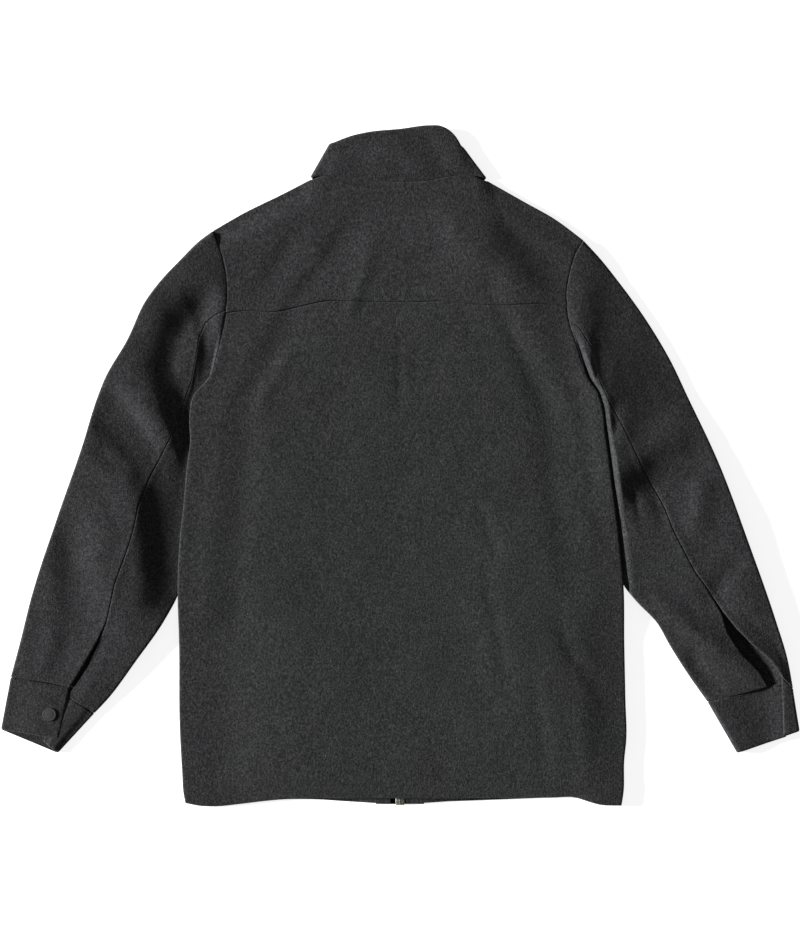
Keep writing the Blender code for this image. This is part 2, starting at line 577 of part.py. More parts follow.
def make_sleeve(name, wool):
    shape = SLEEVES[name]
    net = patch(curve(shape["armhole"]), straight(shape["outer"][-1], shape["inner"][-1]),
                curve(shape["outer"]), curve(shape["inner"]))
    seam, levels = np.array(shape["seam"]), np.array(shape["levels"])

    def risen(v, across, plan):
        """How far the sleeve rises from its pressed height, apart from its creases, and the share
        of that which is left beside and under the body's edge."""
        x, y = plan[:, 0], plan[:, 1]
        outer, middle, inner = (np.interp(v, levels[:, 0], levels[:, i]) for i in (1, 2, 3))
        crown = 2 * outer * (across - .5) * (across - 1) + 4 * middle * across * (1 - across)
        crown = crown + 2 * inner * across * (across - .5)
        (low, low_slope), (high, high_slope) = COVERED
        below = step((high - y) / high_slope) * step((y - low) / low_slope)
        uncovered = 1 - below * (1 - step((-side_distance(x, y) - COVER_EDGE) / shape["rise"]))
        return crown + swollen(x, y) * step((.16 - v) / .16), uncovered

    def top_height(v, across, plan):
        crown, uncovered = risen(v, across, plan)
        near = step(v / .10) * step((1.06 - v) / .16)
        folded = creased(shape["creases"], plan[:, 0], plan[:, 1]) * near
        return FOLD + uncovered * np.maximum(crown + folded, 0.6) - CLOTH / 2

    def top_layer(edge_column, start, end_share, end_at):
        def across(v, shares):
            edge = np.interp(v, seam[:, 0], seam[:, edge_column])
            return edge + (start - edge) * shares

        def place(v, shares):
            b = across(v, shares)
            reach = np.clip(np.abs(b - start) / abs(end_at - start), 0, 1.2)
            return net(b, v - (1 - end_share) * reach * step((v - VENT_TOP) / (1 - VENT_TOP)))

        def height(v, shares, plan):
            return top_height(v, across(v, shares), plan)
        return place, height

    def floor_layer(begin, finish):
        def place(v, shares):
            return net(begin + (finish - begin) * shares, np.full(len(shares), v))

        def height(v, shares, plan):
            # Both folded edges stay flat and are lifted with the top.
            across = begin + (finish - begin) * shares
            crown, uncovered = risen(v, across, plan)
            beside_fold = step(1 - across / .30) + step((across - .74) / .26) * step((1 - v) / .15)
            lifted = beside_fold * np.maximum(crown, 0) * uncovered * step(v / .10)
            room = np.maximum(top_height(v, across, plan) - 1.5 * CLOTH - LIFT_ROOM, 0)
            return CLOTH / 2 + np.minimum(lifted, room)
        return place, height

    rows = np.r_[np.linspace(0, .16, 7)[:-1], np.linspace(.16, .82, 16)[:-1], np.linspace(.82, 1, 6)]
    place, height = top_layer(1, 0.0, *shape["top_end"])
    down_place, down_height = floor_layer(0.0, FRONT_SEAM - SEAM_HALF)
    top_shares = np.r_[SEAM_HALF, np.linspace(.09, 1, 11)]
    layers = [(place, height, 1, top_shares), (down_place, down_height, -1, np.linspace(0, 1, 7))]
    band("top_sleeve_" + name, layers, rows, CLOTH, wool)

    place, height = top_layer(2, 1.0, *shape["under_end"])
    down_place, down_height = floor_layer(FRONT_SEAM + SEAM_HALF, 1.0)

    def to_seam(layer_function):
        return lambda v, shares, *plan: layer_function(v, 1 - shares, *plan)

    under_shares = np.r_[np.linspace(0, .90, 8), 1 - 2 * SEAM_HALF]
    layers = [(down_place, down_height, -1, np.linspace(0, 1, 3)),
              (to_seam(place), to_seam(height), 1, under_shares)]
    band("under_sleeve_" + name, layers, rows, CLOTH, wool)
    return net, seam


def straight(start, end):
    start, end = np.array(start, float), np.array(end, float)
    return lambda t: start + (end - start) * np.atleast_1d(t)[..., None]


def make_cuff(name, net, seam, wool):
    shape, cuff = SLEEVES[name], CUFFS[name]
    end_share, end_at = shape["top_end"]
    outer_seam, inner_seam = net(0.0, 1.0), net(1.0, 1.0)
    tab_seam = net(seam[-1, 1], 1 - (1 - end_share) * min(seam[-1, 1] / end_at, 1.2))
    lap_seam = net(cuff["lap"], .985)
    down = np.array(cuff["outer_hem"]) - outer_seam
    shift = down / np.linalg.norm(down) * CUFF_SEAM
    bottom = {key: np.array(cuff[key], float) for key in ("outer_hem", "tab_hem", "lap_hem", "inner_hem")}

    tab = (tab_seam, bottom["tab_hem"])
    outer = (outer_seam, bottom["outer_hem"])
    inner = (inner_seam, bottom["inner_hem"])
    lap = (lap_seam, bottom["lap_hem"])
    fold, floor = cuff["fold_level"], cuff["floor_level"]
    low = CLOTH / 2
    # The underneath comes down from the outer fold to the surface, and the lap lies on it.
    under_levels = (floor, floor * .8 + low * .2, floor * .25 + low * .75, low, low, low, low)

    def layer(begin, finish, side, height, count):
        def place(v, shares):
            head = begin[0] + shift + (finish[0] - begin[0]) * shares[:, None]
            foot = begin[1] + (finish[1] - begin[1]) * shares[:, None]
            return head + (foot - head) * v
        return place, height, side, np.linspace(0, 1, count)

    def tab_height(v, shares, plan):
        return np.interp(shares, (0, .5, 1), (cuff["tab_level"], cuff["tab_level"], fold))

    def under_height(v, shares, plan):
        return np.interp(shares, np.linspace(0, 1, len(under_levels)), under_levels)

    def lap_height(v, shares, plan):
        return under_height(v, 1 - (1 - cuff["lap"]) * shares, plan) + CLOTH + GAP

    layers = [layer(tab, outer, 1, tab_height, 6), layer(outer, inner, -1, under_height, 9),
              layer(inner, lap, 1, lap_height, 6)]
    band("cuff_" + name, layers, np.linspace(0, 1, 4), CLOTH, wool)


def make_snap(name, centre, base, facing, finish):
    """A domed snap cap on the cloth at the given level, facing up (1) or down (-1)."""
    profile = [(SNAP_RADIUS * .96, 0.0), (SNAP_RADIUS, .35), (SNAP_RADIUS * .93, .70),
               (SNAP_RADIUS * .55, .93), (SNAP_RADIUS * .18, 1.0)]
    count = 20
    points, faces = [], []
    for radius, rise in profile:
        for index in range(count):
            turn = 2 * math.pi * index / count
            points.append((centre[0] + radius * math.cos(turn), centre[1] + radius * math.sin(turn),
                           base + facing * SNAP_HEIGHT * rise))
    for ring in range(len(profile) - 1):
        for index in range(count):
            after = (index + 1) % count
            low, high = ring * count, (ring + 1) * count
            faces.append([low + index, low + after, high + after, high + index])
    faces.append(list(range(count))[::-1])
    faces.append([(len(profile) - 1) * count + index for index in range(count)])
    return solid(name, points, faces, finish)


for old in list(bpy.data.objects):
    bpy.data.objects.remove(old, do_unlink=True)

wool_finish = material("wool", WOOL, 0.95)
tape_finish = material("zip_tape", TAPE, 0.8)
metal_finish = material("zip_metal", METAL, 0.35, 1.0)
snap_finish = material("snap", SNAP_GREY, 0.5, 0.3)

make_body(wool_finish)
make_placket_and_zip(wool_finish, tape_finish, metal_finish)
make_collar(wool_finish)
for side_name in ("left", "right"):
    sleeve_net, sleeve_seam = make_sleeve(side_name, wool_finish)
    make_cuff(side_name, sleeve_net, sleeve_seam, wool_finish)
make_snap("snap_left", LEFT_SNAP, CUFFS["left"]["tab_level"] + CLOTH / 2 + GAP, 1, snap_finish)
make_snap("snap_right", RIGHT_SNAP, RIGHT_SNAP_LEVEL, -1, snap_finish)
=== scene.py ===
import math

import bpy
import numpy as np
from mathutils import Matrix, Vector


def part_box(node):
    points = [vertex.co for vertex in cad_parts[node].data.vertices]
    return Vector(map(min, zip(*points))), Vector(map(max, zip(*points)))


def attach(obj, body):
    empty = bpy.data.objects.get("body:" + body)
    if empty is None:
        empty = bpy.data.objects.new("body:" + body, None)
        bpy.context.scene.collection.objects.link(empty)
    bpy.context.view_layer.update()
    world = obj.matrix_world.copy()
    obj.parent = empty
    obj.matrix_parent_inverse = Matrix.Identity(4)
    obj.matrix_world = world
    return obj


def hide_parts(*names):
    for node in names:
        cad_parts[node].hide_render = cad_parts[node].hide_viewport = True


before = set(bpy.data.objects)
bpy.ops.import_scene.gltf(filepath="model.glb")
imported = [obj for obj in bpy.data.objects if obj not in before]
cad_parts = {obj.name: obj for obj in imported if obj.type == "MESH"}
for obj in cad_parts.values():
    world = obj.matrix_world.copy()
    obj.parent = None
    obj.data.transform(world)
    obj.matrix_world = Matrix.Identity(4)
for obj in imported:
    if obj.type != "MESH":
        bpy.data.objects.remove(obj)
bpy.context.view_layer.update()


# The wool cloth that the whole coat is cut from: a fulled melange of charcoal yarns with lighter and
# darker fibres, napped and pressed, so that no weave shows. It is dull, with a soft bloom at its
# edges. Every wool piece takes this one finish; sizes in it are in metres.
MM = 0.001                # the plan tables below are in millimetres
ORIGIN = (0.25, 0.1)      # middle of the laid-out coat, from the centre back at mid length


def noise(tree, place, size, detail, roughness=0.55, stretch=(1, 1, 1), turn=0.0):
    """A noise whose patches are about the given size, which may be drawn out and turned."""
    moved = tree.nodes.new("ShaderNodeMapping")
    moved.inputs["Rotation"].default_value = (0, 0, turn)
    moved.inputs["Scale"].default_value = stretch
    made = tree.nodes.new("ShaderNodeTexNoise")
    made.inputs["Scale"].default_value = 1 / size
    made.inputs["Detail"].default_value = detail
    made.inputs["Roughness"].default_value = roughness
    tree.links.new(place.outputs["Object"], moved.inputs["Vector"])
    tree.links.new(moved.outputs["Vector"], made.inputs["Vector"])
    return made.outputs["Fac"]


def between(tree, value, low, high, out_low, out_high):
    """The value taken from one range to another and held inside it."""
    made = tree.nodes.new("ShaderNodeMapRange")
    for socket, number in zip(("From Min", "From Max", "To Min", "To Max"), (low, high, out_low, out_high)):
        made.inputs[socket].default_value = number
    tree.links.new(value, made.inputs["Value"])
    return made.outputs["Result"]


def mottling(tree, place, size, detail, low, high, *rest):
    """A noise as a factor that lies between low and high; rest is its roughness, stretch and turn."""
    return between(tree, noise(tree, place, size, detail, *rest), 0.3, 0.7, low, high)


def sum_of(tree, first, second, operation="ADD"):
    """Two values added, or put together in another way."""
    made = tree.nodes.new("ShaderNodeMath")
    made.operation = operation
    tree.links.new(first, made.inputs[0])
    tree.links.new(second, made.inputs[1])
    return made.outputs["Value"]


def blend_colours(tree, amount, first, second):
    """One colour over another; each is a colour or the output of a node."""
    made = tree.nodes.new("ShaderNodeMix")
    made.data_type = "RGBA"
    tree.links.new(amount, made.inputs["Factor"])
    for socket, colour in ((made.inputs["A"], first), (made.inputs["B"], second)):
        if isinstance(colour, tuple):
            socket.default_value = (*colour, 1)
        else:
            tree.links.new(colour, socket)
    return made.outputs["Result"]


def new_finish(name):
    """A new material, its nodes, its shader and the place on the piece."""
    made = bpy.data.materials.new(name)
    made.use_nodes = True
    tree = made.node_tree
    return made, tree, tree.nodes["Principled BSDF"], tree.nodes.new("ShaderNodeTexCoord")


def scaled_colour(tree, colour, value):
    """A colour made lighter or darker; it is a colour or the output of a node."""
    made = tree.nodes.new("ShaderNodeVectorMath")
    made.operation = "SCALE"
    if isinstance(colour, tuple):
        made.inputs[0].default_value = colour
    else:
        tree.links.new(colour, made.inputs[0])
    tree.links.new(value, made.inputs["Scale"])
    return made.outputs["Vector"]


WOOL_SHADE = 0.0222       # middle of the charcoal, as a share of the light
WOOL_GREEN = (0.93, 1.03, 0.99)
WOOL_VIOLET = (1.02, 0.985, 1.045)


def wool_material():
    """The charcoal melange, its hue drawn from green in the middle of the coat to violet round it."""
    made, tree, shader, place = new_finish("charcoal wool")
    middle = tree.nodes.new("ShaderNodeMapping")
    middle.inputs["Location"].default_value = (-0.08, 0.34, 0)
    middle.inputs["Scale"].default_value = (2.6, 2.1, 0)
    fading = tree.nodes.new("ShaderNodeTexGradient")
    fading.gradient_type = "SPHERICAL"
    tree.links.new(place.outputs["Object"], middle.inputs["Vector"])
    tree.links.new(middle.outputs["Vector"], fading.inputs["Vector"])
    outside = between(tree, fading.outputs["Fac"], 0, 0.9, 0.25, -0.25)
    tint = between(tree, sum_of(tree, noise(tree, place, 0.10, 4, 0.7), outside), 0.30, 0.70, 0, 1)
    hue = blend_colours(tree, tint, WOOL_GREEN, WOOL_VIOLET)
    cloud = mottling(tree, place, 0.030, 3, 0.93, 1.07)
    tuft = between(tree, noise(tree, place, 0.0050, 2), 0.32, 0.68, 0.76, 1.24)
    grain = mottling(tree, place, 0.0025, 3, 0.12, 1.94, 0.75)
    fibre = mottling(tree, place, 0.0011, 2, 0.8, 1.2, 0.6, (1, 0.16, 1), 0.5)
    cross = mottling(tree, place, 0.0011, 2, 0.8, 1.2, 0.6, (0.16, 1, 1), -0.3)
    strands = sum_of(tree, fibre, cross, "MULTIPLY")
    value = grain
    for layer in (tuft, cloud, strands):
        value = sum_of(tree, value, layer, "MULTIPLY")
    shade = scaled_colour(tree, hue, between(tree, value, 0, 10, 0, 10 * WOOL_SHADE))
    fleck = between(tree, noise(tree, place, 0.0016, 2, 0.5, (1, 0.45, 1), 0.9), 0.70, 0.76, 0, 0.5)
    colour = blend_colours(tree, fleck, shade, (0.15, 0.15, 0.155))
    tree.links.new(colour, shader.inputs["Base Color"])
    shader.inputs["Roughness"].default_value = 0.95
    shader.inputs["Specular IOR Level"].default_value = 0.15
    shader.inputs["Sheen Weight"].default_value = 0.12
    shader.inputs["Sheen Roughness"].default_value = 0.6
    shader.inputs["Sheen Tint"].default_value = (0.55, 0.56, 0.58, 1)
    nap = sum_of(tree, sum_of(tree, grain, strands), tuft)
    bump = tree.nodes.new("ShaderNodeBump")
    bump.inputs["Strength"].default_value = 0.55
    bump.inputs["Distance"].default_value = 0.00035
    tree.links.new(nap, bump.inputs["Height"])
    tree.links.new(bump.outputs["Normal"], shader.inputs["Normal"])
    return made


wool = wool_material()


# The back panel and the yoke. The back is one wide piece from the hem to the yoke seam, and the yoke
# carries it up to the collar and the shoulders. Each is shell cloth and lining pressed together. The
# back lies on the fronts at its sides and swells a little between, where the fronts and zip are.
CLOTH = 2.5               # thickness of the shell with its lining
GAP = 0.3                 # between pieces that are sewn or lie on each other
SEAM = 0.4                # between the two edges of a seam, seen from above
FOLD = 2 * CLOTH + GAP    # a fold pressed flat: two walls
REST = FOLD + 3.2         # top of the back where it lies on the fronts
TUCK = FOLD + GAP         # how far the body's side is lifted where a sleeve lies under it
PITCH = 4.2               # between the points of a panel that shows
FREE_EDGE = (2.3, 2.1)    # a turned-in edge: how far its rounding reaches in, and how deep it goes
SEAM_EDGE = (1.7, 1.5)    # an edge drawn down into a seam
PUFF = 3.4                # how much the back swells between its pressed edges

# Edges of the body in plan, each as x, y.
LEFT_SIDE = [
    (-268, -421), (-270.5, -408), (-272, -385), (-275, -330), (-276, -217), (-277.5, -148),
    (-275, -93), (-270, -47), (-266, 0), (-262, 30), (-263, 60), (-259, 86),
    (-238, 112), (-230, 134), (-222.5, 165),
]
RIGHT_SIDE = [
    (276.5, -424), (279, -408), (280, -367), (282.5, -342), (281.5, -292), (280, -217),
    (279, -151), (272.5, -80), (266, -30), (261, 10), (256, 45), (253, 72), (247, 92),
    (236, 108), (226, 134), (218.5, 157), (212, 176),
]
LEFT_ARMHOLE_TOP = [(-217.5, 191), (-216, 226), (-221, 259), (-234, 293.5)]
RIGHT_ARMHOLE_TOP = [(208, 200), (207.5, 215), (211.5, 240), (217.5, 261), (229, 282)]
BACK_HEM = [
    (-268, -421), (-250, -424.5), (-230, -425), (-200, -422), (-172, -418.5), (-140, -415.5),
    (-60, -415), (60, -415), (190, -414), (220, -414), (235, -419), (250, -423), (276.5, -424),
]
YOKE_SEAM = [
    (-217.5, 191), (-188, 194), (-156, 192.5), (-125, 199), (-90, 206), (-55, 205.5), (16, 204.5),
    (55, 205.5), (84, 203), (125, 200.5), (169, 202), (208, 200),
]
LEFT_SHOULDER = [(-234, 293.5), (-194, 316.5), (-150, 338), (-112, 357.5)]
BACK_NECK = [(-112, 357.5), (-107.5, 358.2), (-103, 360.2), (-80, 361), (-50, 358.5),
             (-30, 355.5), (0, 354.5), (30, 355.5), (60, 361), (90, 362.6), (97, 361),
             (101, 358.6), (104.5, 356.4), (109, 356)]
RIGHT_SHOULDER = [(109, 356), (156, 329.5), (194, 308), (229, 282)]

# Creases of the back: half width, height (a trough where negative), then the points it runs through.
BODY_CREASES = [
    ((26, 12), -2.1, (-37, 332), (-69, 289), (-94, 251), (-137, 195), (-175, 120)),
    ((26, 12), -2.0, (-125, 295), (-162, 239), (-206, 189)),
    (10, 1.3, (52, 345), (62, 318), (75, 268)),
    ((16, 10), -1.8, (100, 272), (116, 215), (142, 160), (190, 70), (230, -5), (256, -74)),
    ((30, 60), 6.5, (62, 345), (86, 300), (118, 260), (156, 230), (196, 203), (230, 175), (310, 95)),
    ((60, 34), -6.5, (112, 378), (148, 316), (182, 284), (222, 256), (258, 230), (340, 160)),
    ((13, 12), 1.4, (66, 322), (73, 298), (91, 270), (118, 246), (160, 229), (195, 204), (222, 165),
     (243, 130)),
    (14, -2.2, (-208, 222), (-216, 190), (-222, 150)),
    (34, 2.0, (-225, 200), (-240, 120), (-245, 60)),
    (12, 1.8, (-131, 157), (-160, 110), (-187, 57)),
    ((110, 75), 3.2, (135, -40), (150, -130), (164, -230), (180, -400)),
    (8, -0.8, (100, -100), (118, -190), (140, -300)),
    (9, -0.8, (164, -240), (174, -320), (186, -405)),
    ((14, 9), -1.6, (190, -175), (215, -235), (250, -280), (275, -317)),
    (14, 0.8, (-160, -310), (-185, -370), (-208, -415)),
    (8, -1.2, (94, -36), (110, -80), (125, -124)),
    (6, -1.2, (-272, 53), (-258, 52), (-240, 44)),
    (4, -0.8, (-1, 175), (-1, 120), (-1, 60)),
    (10, 1.5, (-30, 300), (-42, 250), (-70, 170)),
]


def step(value):
    """0 below 0, 1 above 1, and smooth between."""
    held = np.clip(value, 0.0, 1.0)
    return held * held * (3.0 - 2.0 * held)


def along_line(points):
    """How far along a line each of its points lies."""
    return np.r_[0.0, np.cumsum(np.linalg.norm(np.diff(points, axis=0), axis=1))]


def curve(points):
    """A smooth curve through the points; it takes shares of its length from 0 to 1."""
    knots = np.array(points, float)
    chord = along_line(knots)
    slope = np.gradient(knots, chord, axis=0)
    fine = np.linspace(0.0, chord[-1], 40 * len(knots))
    span = np.clip(np.searchsorted(chord, fine, side="right") - 1, 0, len(knots) - 2)
    width = (chord[span + 1] - chord[span])[:, None]
    part = (fine - chord[span])[:, None] / width
    line = (
        (2 * part**3 - 3 * part**2 + 1) * knots[span]
        + (part**3 - 2 * part**2 + part) * width * slope[span]
        + (3 * part**2 - 2 * part**3) * knots[span + 1]
        + (part**3 - part**2) * width * slope[span + 1]
    )
    length = along_line(line)
    share = length / length[-1]
    return lambda t: np.stack([np.interp(t, share, line[:, 0]), np.interp(t, share, line[:, 1])], -1)


def joined(parts, breaks):
    """One curve from several, each over its own stretch of the share from 0 to 1."""
    def place(t):
        t = np.atleast_1d(np.asarray(t, float))
        found = np.zeros(t.shape + (2,))
        for part, low, high in zip(parts, breaks[:-1], breaks[1:]):
            inside = (t >= low) & (t <= high)
            found[inside] = part((t[inside] - low) / (high - low))
        return found
    return place


def patch(low, high, left, right):
    """The plan of a panel between its four edges: across from left to right, up from low to high."""
    def place(across, up):
        across, up = np.broadcast_arrays(np.asarray(across, float), np.asarray(up, float))
        a, b = across[..., None], up[..., None]
        shape = across.shape + (2,)
        ruled = (1 - b) * low(across.ravel()).reshape(shape) + b * high(across.ravel()).reshape(shape)
        ruled = ruled + (1 - a) * left(up.ravel()).reshape(shape) + a * right(up.ravel()).reshape(shape)
        corners = (1 - a) * (1 - b) * low(np.zeros(1)) + a * (1 - b) * low(np.ones(1))
        return ruled - corners - (1 - a) * b * high(np.zeros(1)) - a * b * high(np.ones(1))
    return place


def creased(creases, x, y):
    """The sum of the creases at a place: soft across, and fading out towards both ends. A crease with
    two half widths has the first on the left of its line and the second on the right."""
    total = np.zeros(np.shape(x))
    for half, height, *line in creases:
        knots = np.array(line, float)
        half_left, half_right = np.broadcast_to(np.array(half, float), 2)
        starts = along_line(knots)
        nearest = np.full(np.shape(x), np.inf)
        along = np.zeros(np.shape(x))
        width = np.full(np.shape(x), half_left)
        for start, end, length, before in zip(knots[:-1], knots[1:], np.diff(starts), starts):
            run = (end - start) / length
            reach = np.clip((x - start[0]) * run[0] + (y - start[1]) * run[1], 0, length)
            away = np.hypot(x - start[0] - reach * run[0], y - start[1] - reach * run[1])
            on_left = (y - start[1]) * run[0] - (x - start[0]) * run[1] > 0
            closer = away < nearest
            along = np.where(closer, before + reach, along)
            width = np.where(closer, np.where(on_left, half_left, half_right), width)
            nearest = np.where(closer, away, nearest)
        share = along / starts[-1]
        ends = step((share + 0.02) / 0.3) * step((1.02 - share) / 0.3)
        total = total + height * ends * np.exp(-((nearest / width) ** 2))
    return total


# Where the coat stands higher as a whole: x, y, half width, half length, height.
SWELLINGS = [
    (215, 190, 70, 70, 4.5),
    (-232, 235, 50, 60, 2.5),
    (40, 250, 90, 70, 1.5),
    (233, 140, 20, 55, 5.0),
]
RIDE = 3.2                # how far the bulge of the right sleeve lifts the body's right side


def swollen(x, y):
    """How much higher the coat stands at a place."""
    total = np.zeros(np.shape(x))
    for x0, y0, half_x, half_y, height in SWELLINGS:
        total = total + height * np.exp(-(((x - x0) / half_x) ** 2) - ((y - y0) / half_y) ** 2)
    return total


def uneven(x, y, wave, height, seed):
    """The slight unevenness of pressed cloth: a few waves of about one length, in unruly directions."""
    draw = np.random.default_rng(seed)
    total = np.zeros(np.shape(x))
    for turn, shift, stretch in zip(draw.uniform(0, 7, 9), draw.uniform(0, 7, 9), draw.uniform(0.7, 1.5, 9)):
        across = x * math.cos(turn) + y * math.sin(turn)
        total = total + np.sin(across * 2 * math.pi / (wave * stretch) + shift)
    return height * total / 3


def spaced(length, pitch, fine_start=True, fine_end=True):
    """Shares from 0 to 1 along a length, close together beside an edge that is to be rounded."""
    near = np.array([0.0, 0.4, 0.9, 1.6, 2.6])
    low = near[-1] if fine_start else 0.0
    high = length - near[-1] if fine_end else length
    middle = np.linspace(low, high, max(2, round((high - low) / pitch) + 1))
    before = near[:-1] if fine_start else np.zeros(0)
    after = length - near[-2::-1] if fine_end else np.zeros(0)
    return np.r_[before, middle, after] / length


def new_piece(name, points, faces, finish):
    """A mesh of the coat from its points in millimetres of the plan."""
    mesh = bpy.data.meshes.new(name)
    mesh.from_pydata(((points - (*ORIGIN, 0)) * MM).tolist(), [], faces)
    mesh.update()
    mesh.shade_smooth()
    mesh.materials.append(finish)
    made = bpy.data.objects.new(name, mesh)
    bpy.context.scene.collection.objects.link(made)
    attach(made, "coat")
    return made


def cloth(name, node, middles, normals, thickness, edges, finish=wool, slot="wool", **cut):
    """A sheet of cloth from the grid of its middle points and the ways they face, in millimetres.
    edges are the roundings of its left, right, low and high edge, on the side that faces out; cut is
    what is said of its flat piece, and it is not used."""
    across = np.linalg.norm(np.diff(middles, axis=1), axis=2)
    along = np.linalg.norm(np.diff(middles, axis=0), axis=2)
    left = np.pad(np.cumsum(across, 1), ((0, 0), (1, 0)))
    low = np.pad(np.cumsum(along, 0), ((1, 0), (0, 0)))
    worn = np.zeros(left.shape)
    for away, (reach, depth) in zip((left, left[:, -1:] - left, low, low[-1:] - low), edges):
        inside = np.clip(1 - away / reach, 0, 1)
        worn = worn + depth * (1 - np.sqrt(1 - inside**2))
    worn = np.minimum(worn, thickness - 0.3)[..., None]
    outer = middles + normals * (thickness / 2 - worn)
    inner = middles - normals * thickness / 2

    rows, columns = left.shape
    count = rows * columns
    points = np.concatenate([outer.reshape(-1, 3), inner.reshape(-1, 3)])
    index = np.arange(count).reshape(rows, columns)
    quads = np.stack([index[:-1, :-1], index[:-1, 1:], index[1:, 1:], index[1:, :-1]], -1).reshape(-1, 4)
    border = np.concatenate([index[0, :-1], index[:-1, -1], index[-1, :0:-1], index[:0:-1, 0]])
    after = np.roll(border, -1)
    rim = np.stack([after, border, border + count, after + count], -1)
    faces = np.concatenate([quads, quads[:, ::-1] + count, rim])
    corner = points[faces]
    turned = np.cross(corner[:, 1], corner[:, 2]) + np.cross(corner[:, 2], corner[:, 3])
    if np.sum(corner[:, 0] * turned) < 0:
        faces = faces[:, ::-1]
    made = new_piece(name, points, faces.tolist(), finish)
    made.data.set_sharp_from_angle(angle=math.radians(55))
    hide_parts(node)


def side_distance(x, y):
    """How far a place is from the body's nearer side edge."""
    left = np.array(LEFT_SIDE + LEFT_ARMHOLE_TOP, float)
    right = np.array(RIGHT_SIDE + RIGHT_ARMHOLE_TOP, float)
    edge_left = np.interp(y, left[:, 1], left[:, 0])
    edge_right = np.interp(y, right[:, 1], right[:, 0])
    return np.minimum(x - edge_left, edge_right - x)


def ridden(x, y):
    """The lift of the right side, and of the sleeve beside it."""
    along = step((y + 90) / 80) * step((150 - y) / 50) * (x > 0)
    inside = side_distance(x, y)
    return RIDE * along * step((34 - inside) / 34) * step((inside + 75) / 75)


def on_sleeve(y):
    """1 along the stretch where a sleeve lies under the body's side, 0 above and below it."""
    return step((174 - y) / 40) * step((y + 225) / 55)


def tuck(x, y):
    """The lift of the body's sides: on the sleeves, and lower down on their own side seams."""
    inside = side_distance(x, y)
    held_up = np.where(x > 0, 4.0, 1.5) * step((-60 - y) / 200) * step((70 - inside) / 56)
    return TUCK * on_sleeve(y) * step((82 - inside) / 50) + ridden(x, y) + held_up


def back_low(x, y):
    """The underside of the back: closed on the fronts at the sides and shoulders, free between."""
    open_side = step((y - 128) / 42)
    inside = side_distance(x, y)
    full_side = step((-60 - y) / 200) * (x > 0)
    width = (140 - 50 * on_sleeve(y)) * (1 - full_side) + 62 * full_side
    from_side = open_side + (1 - open_side) * step((inside - 15 * (1 - full_side)) / width)
    tips = [LEFT_SHOULDER[0], LEFT_SHOULDER[-1], RIGHT_SHOULDER[0], RIGHT_SHOULDER[-1]]
    shoulder = np.interp(x, [tip[0] for tip in tips], [tip[1] for tip in tips])
    neck = step((x + 124) / 22) * step((119 - x) / 20)
    from_shoulder = neck + (1 - neck) * step((shoulder - y) / 34)
    free = from_side * from_shoulder
    clear = step((y + 422) / 50) * step((345 - y) / 60) * step((inside + 4) / (90 - 30 * full_side))
    swell = PUFF + creased(BODY_CREASES, x, y) + uneven(x, y, 95, 0.36, 3) + uneven(x, y, 30, 0.07, 5)
    raised = np.maximum(swell, 0.2) * (0.08 + 0.92 * clear)
    return CLOTH + GAP + tuck(x, y) + free * (REST - FOLD + raised + swollen(x, y))


up = np.array([0.0, 0.0, 1.0])
yoke_breaks = (0.0, 0.29, 0.71, 1.0)
left_side = curve(LEFT_SIDE + LEFT_ARMHOLE_TOP[:1])
right_side = curve(RIGHT_SIDE + RIGHT_ARMHOLE_TOP[:1])
left_top, right_top = curve(LEFT_ARMHOLE_TOP), curve(RIGHT_ARMHOLE_TOP)
lower_plan = patch(curve(BACK_HEM), curve(YOKE_SEAM), left_side, right_side)
neck_line = joined([curve(LEFT_SHOULDER), curve(BACK_NECK), curve(RIGHT_SHOULDER)], yoke_breaks)
upper_plan = patch(curve(YOKE_SEAM), neck_line, left_top, right_top)


def panel_middles(plan, height, width):
    """The middle points of the back or the yoke. The allowance pressed up from the low edge lifts a
    strip of the given height and width."""
    away = plan[..., 1] - plan[:1, :, 1]
    ridge = height * step((width - away) / 3.5) * step(away / 1.2 + 0.3)
    level = back_low(plan[..., 0], plan[..., 1]) + CLOTH / 2 + ridge
    return np.concatenate([plan, level[..., None]], -1)


across = spaced(550, PITCH)
rows = spaced(620, PITCH)
plan = lower_plan(across[None, :], rows[:, None])
plan[..., 1] -= SEAM / 2 * step((rows - 0.97) / 0.03)[:, None]
body_edges = (FREE_EDGE, FREE_EDGE, FREE_EDGE, SEAM_EDGE)
sewn_edges = (SEAM_EDGE, SEAM_EDGE, SEAM_EDGE, SEAM_EDGE)
fronts = ["front_left", "front_right"]
cloth("back", "back_panel", panel_middles(plan, 0.5, 32), up, CLOTH, body_edges,
      flat=(0.585, 0.655), area=0.365, rests_on=fronts)

rows = spaced(150, PITCH)
plan = upper_plan(across[None, :], rows[:, None])
plan[..., 1] += SEAM / 2 * step((0.1 - rows) / 0.1)[:, None]
cloth("yoke", "back_yoke", panel_middles(plan, 0.55, 11), up, CLOTH, sewn_edges,
      flat=(0.475, 0.185), area=0.070, rests_on=fronts)


# The two fronts lie under the back, with their outsides on the surface. The photograph hides them, so
# they are plain: each runs from its side seam and shoulder to its edge beside the zip.
ZIP_EDGE = 12.0           # half the distance between the two front edges
PLACKET_CLOTH = 2.2
FRONT_PITCH = 9.0
FRONT_HEM_DROP = [(-275, 0.0), (-150, 0.5), (-100, 2.0), (-30, 6.0), (25, 6.0), (60, 4.0),
                  (130, 2.0), (180, 0.5), (285, 0.0)]
FRONT_NECK_LEFT = [(-112, 357.5), (-102.5, 343), (-87.5, 316.5), (-58, 288), (-12, 275)]
FRONT_NECK_RIGHT = [(109, 356), (98.5, 342), (82.5, 315.5), (54, 288), (12, 275)]


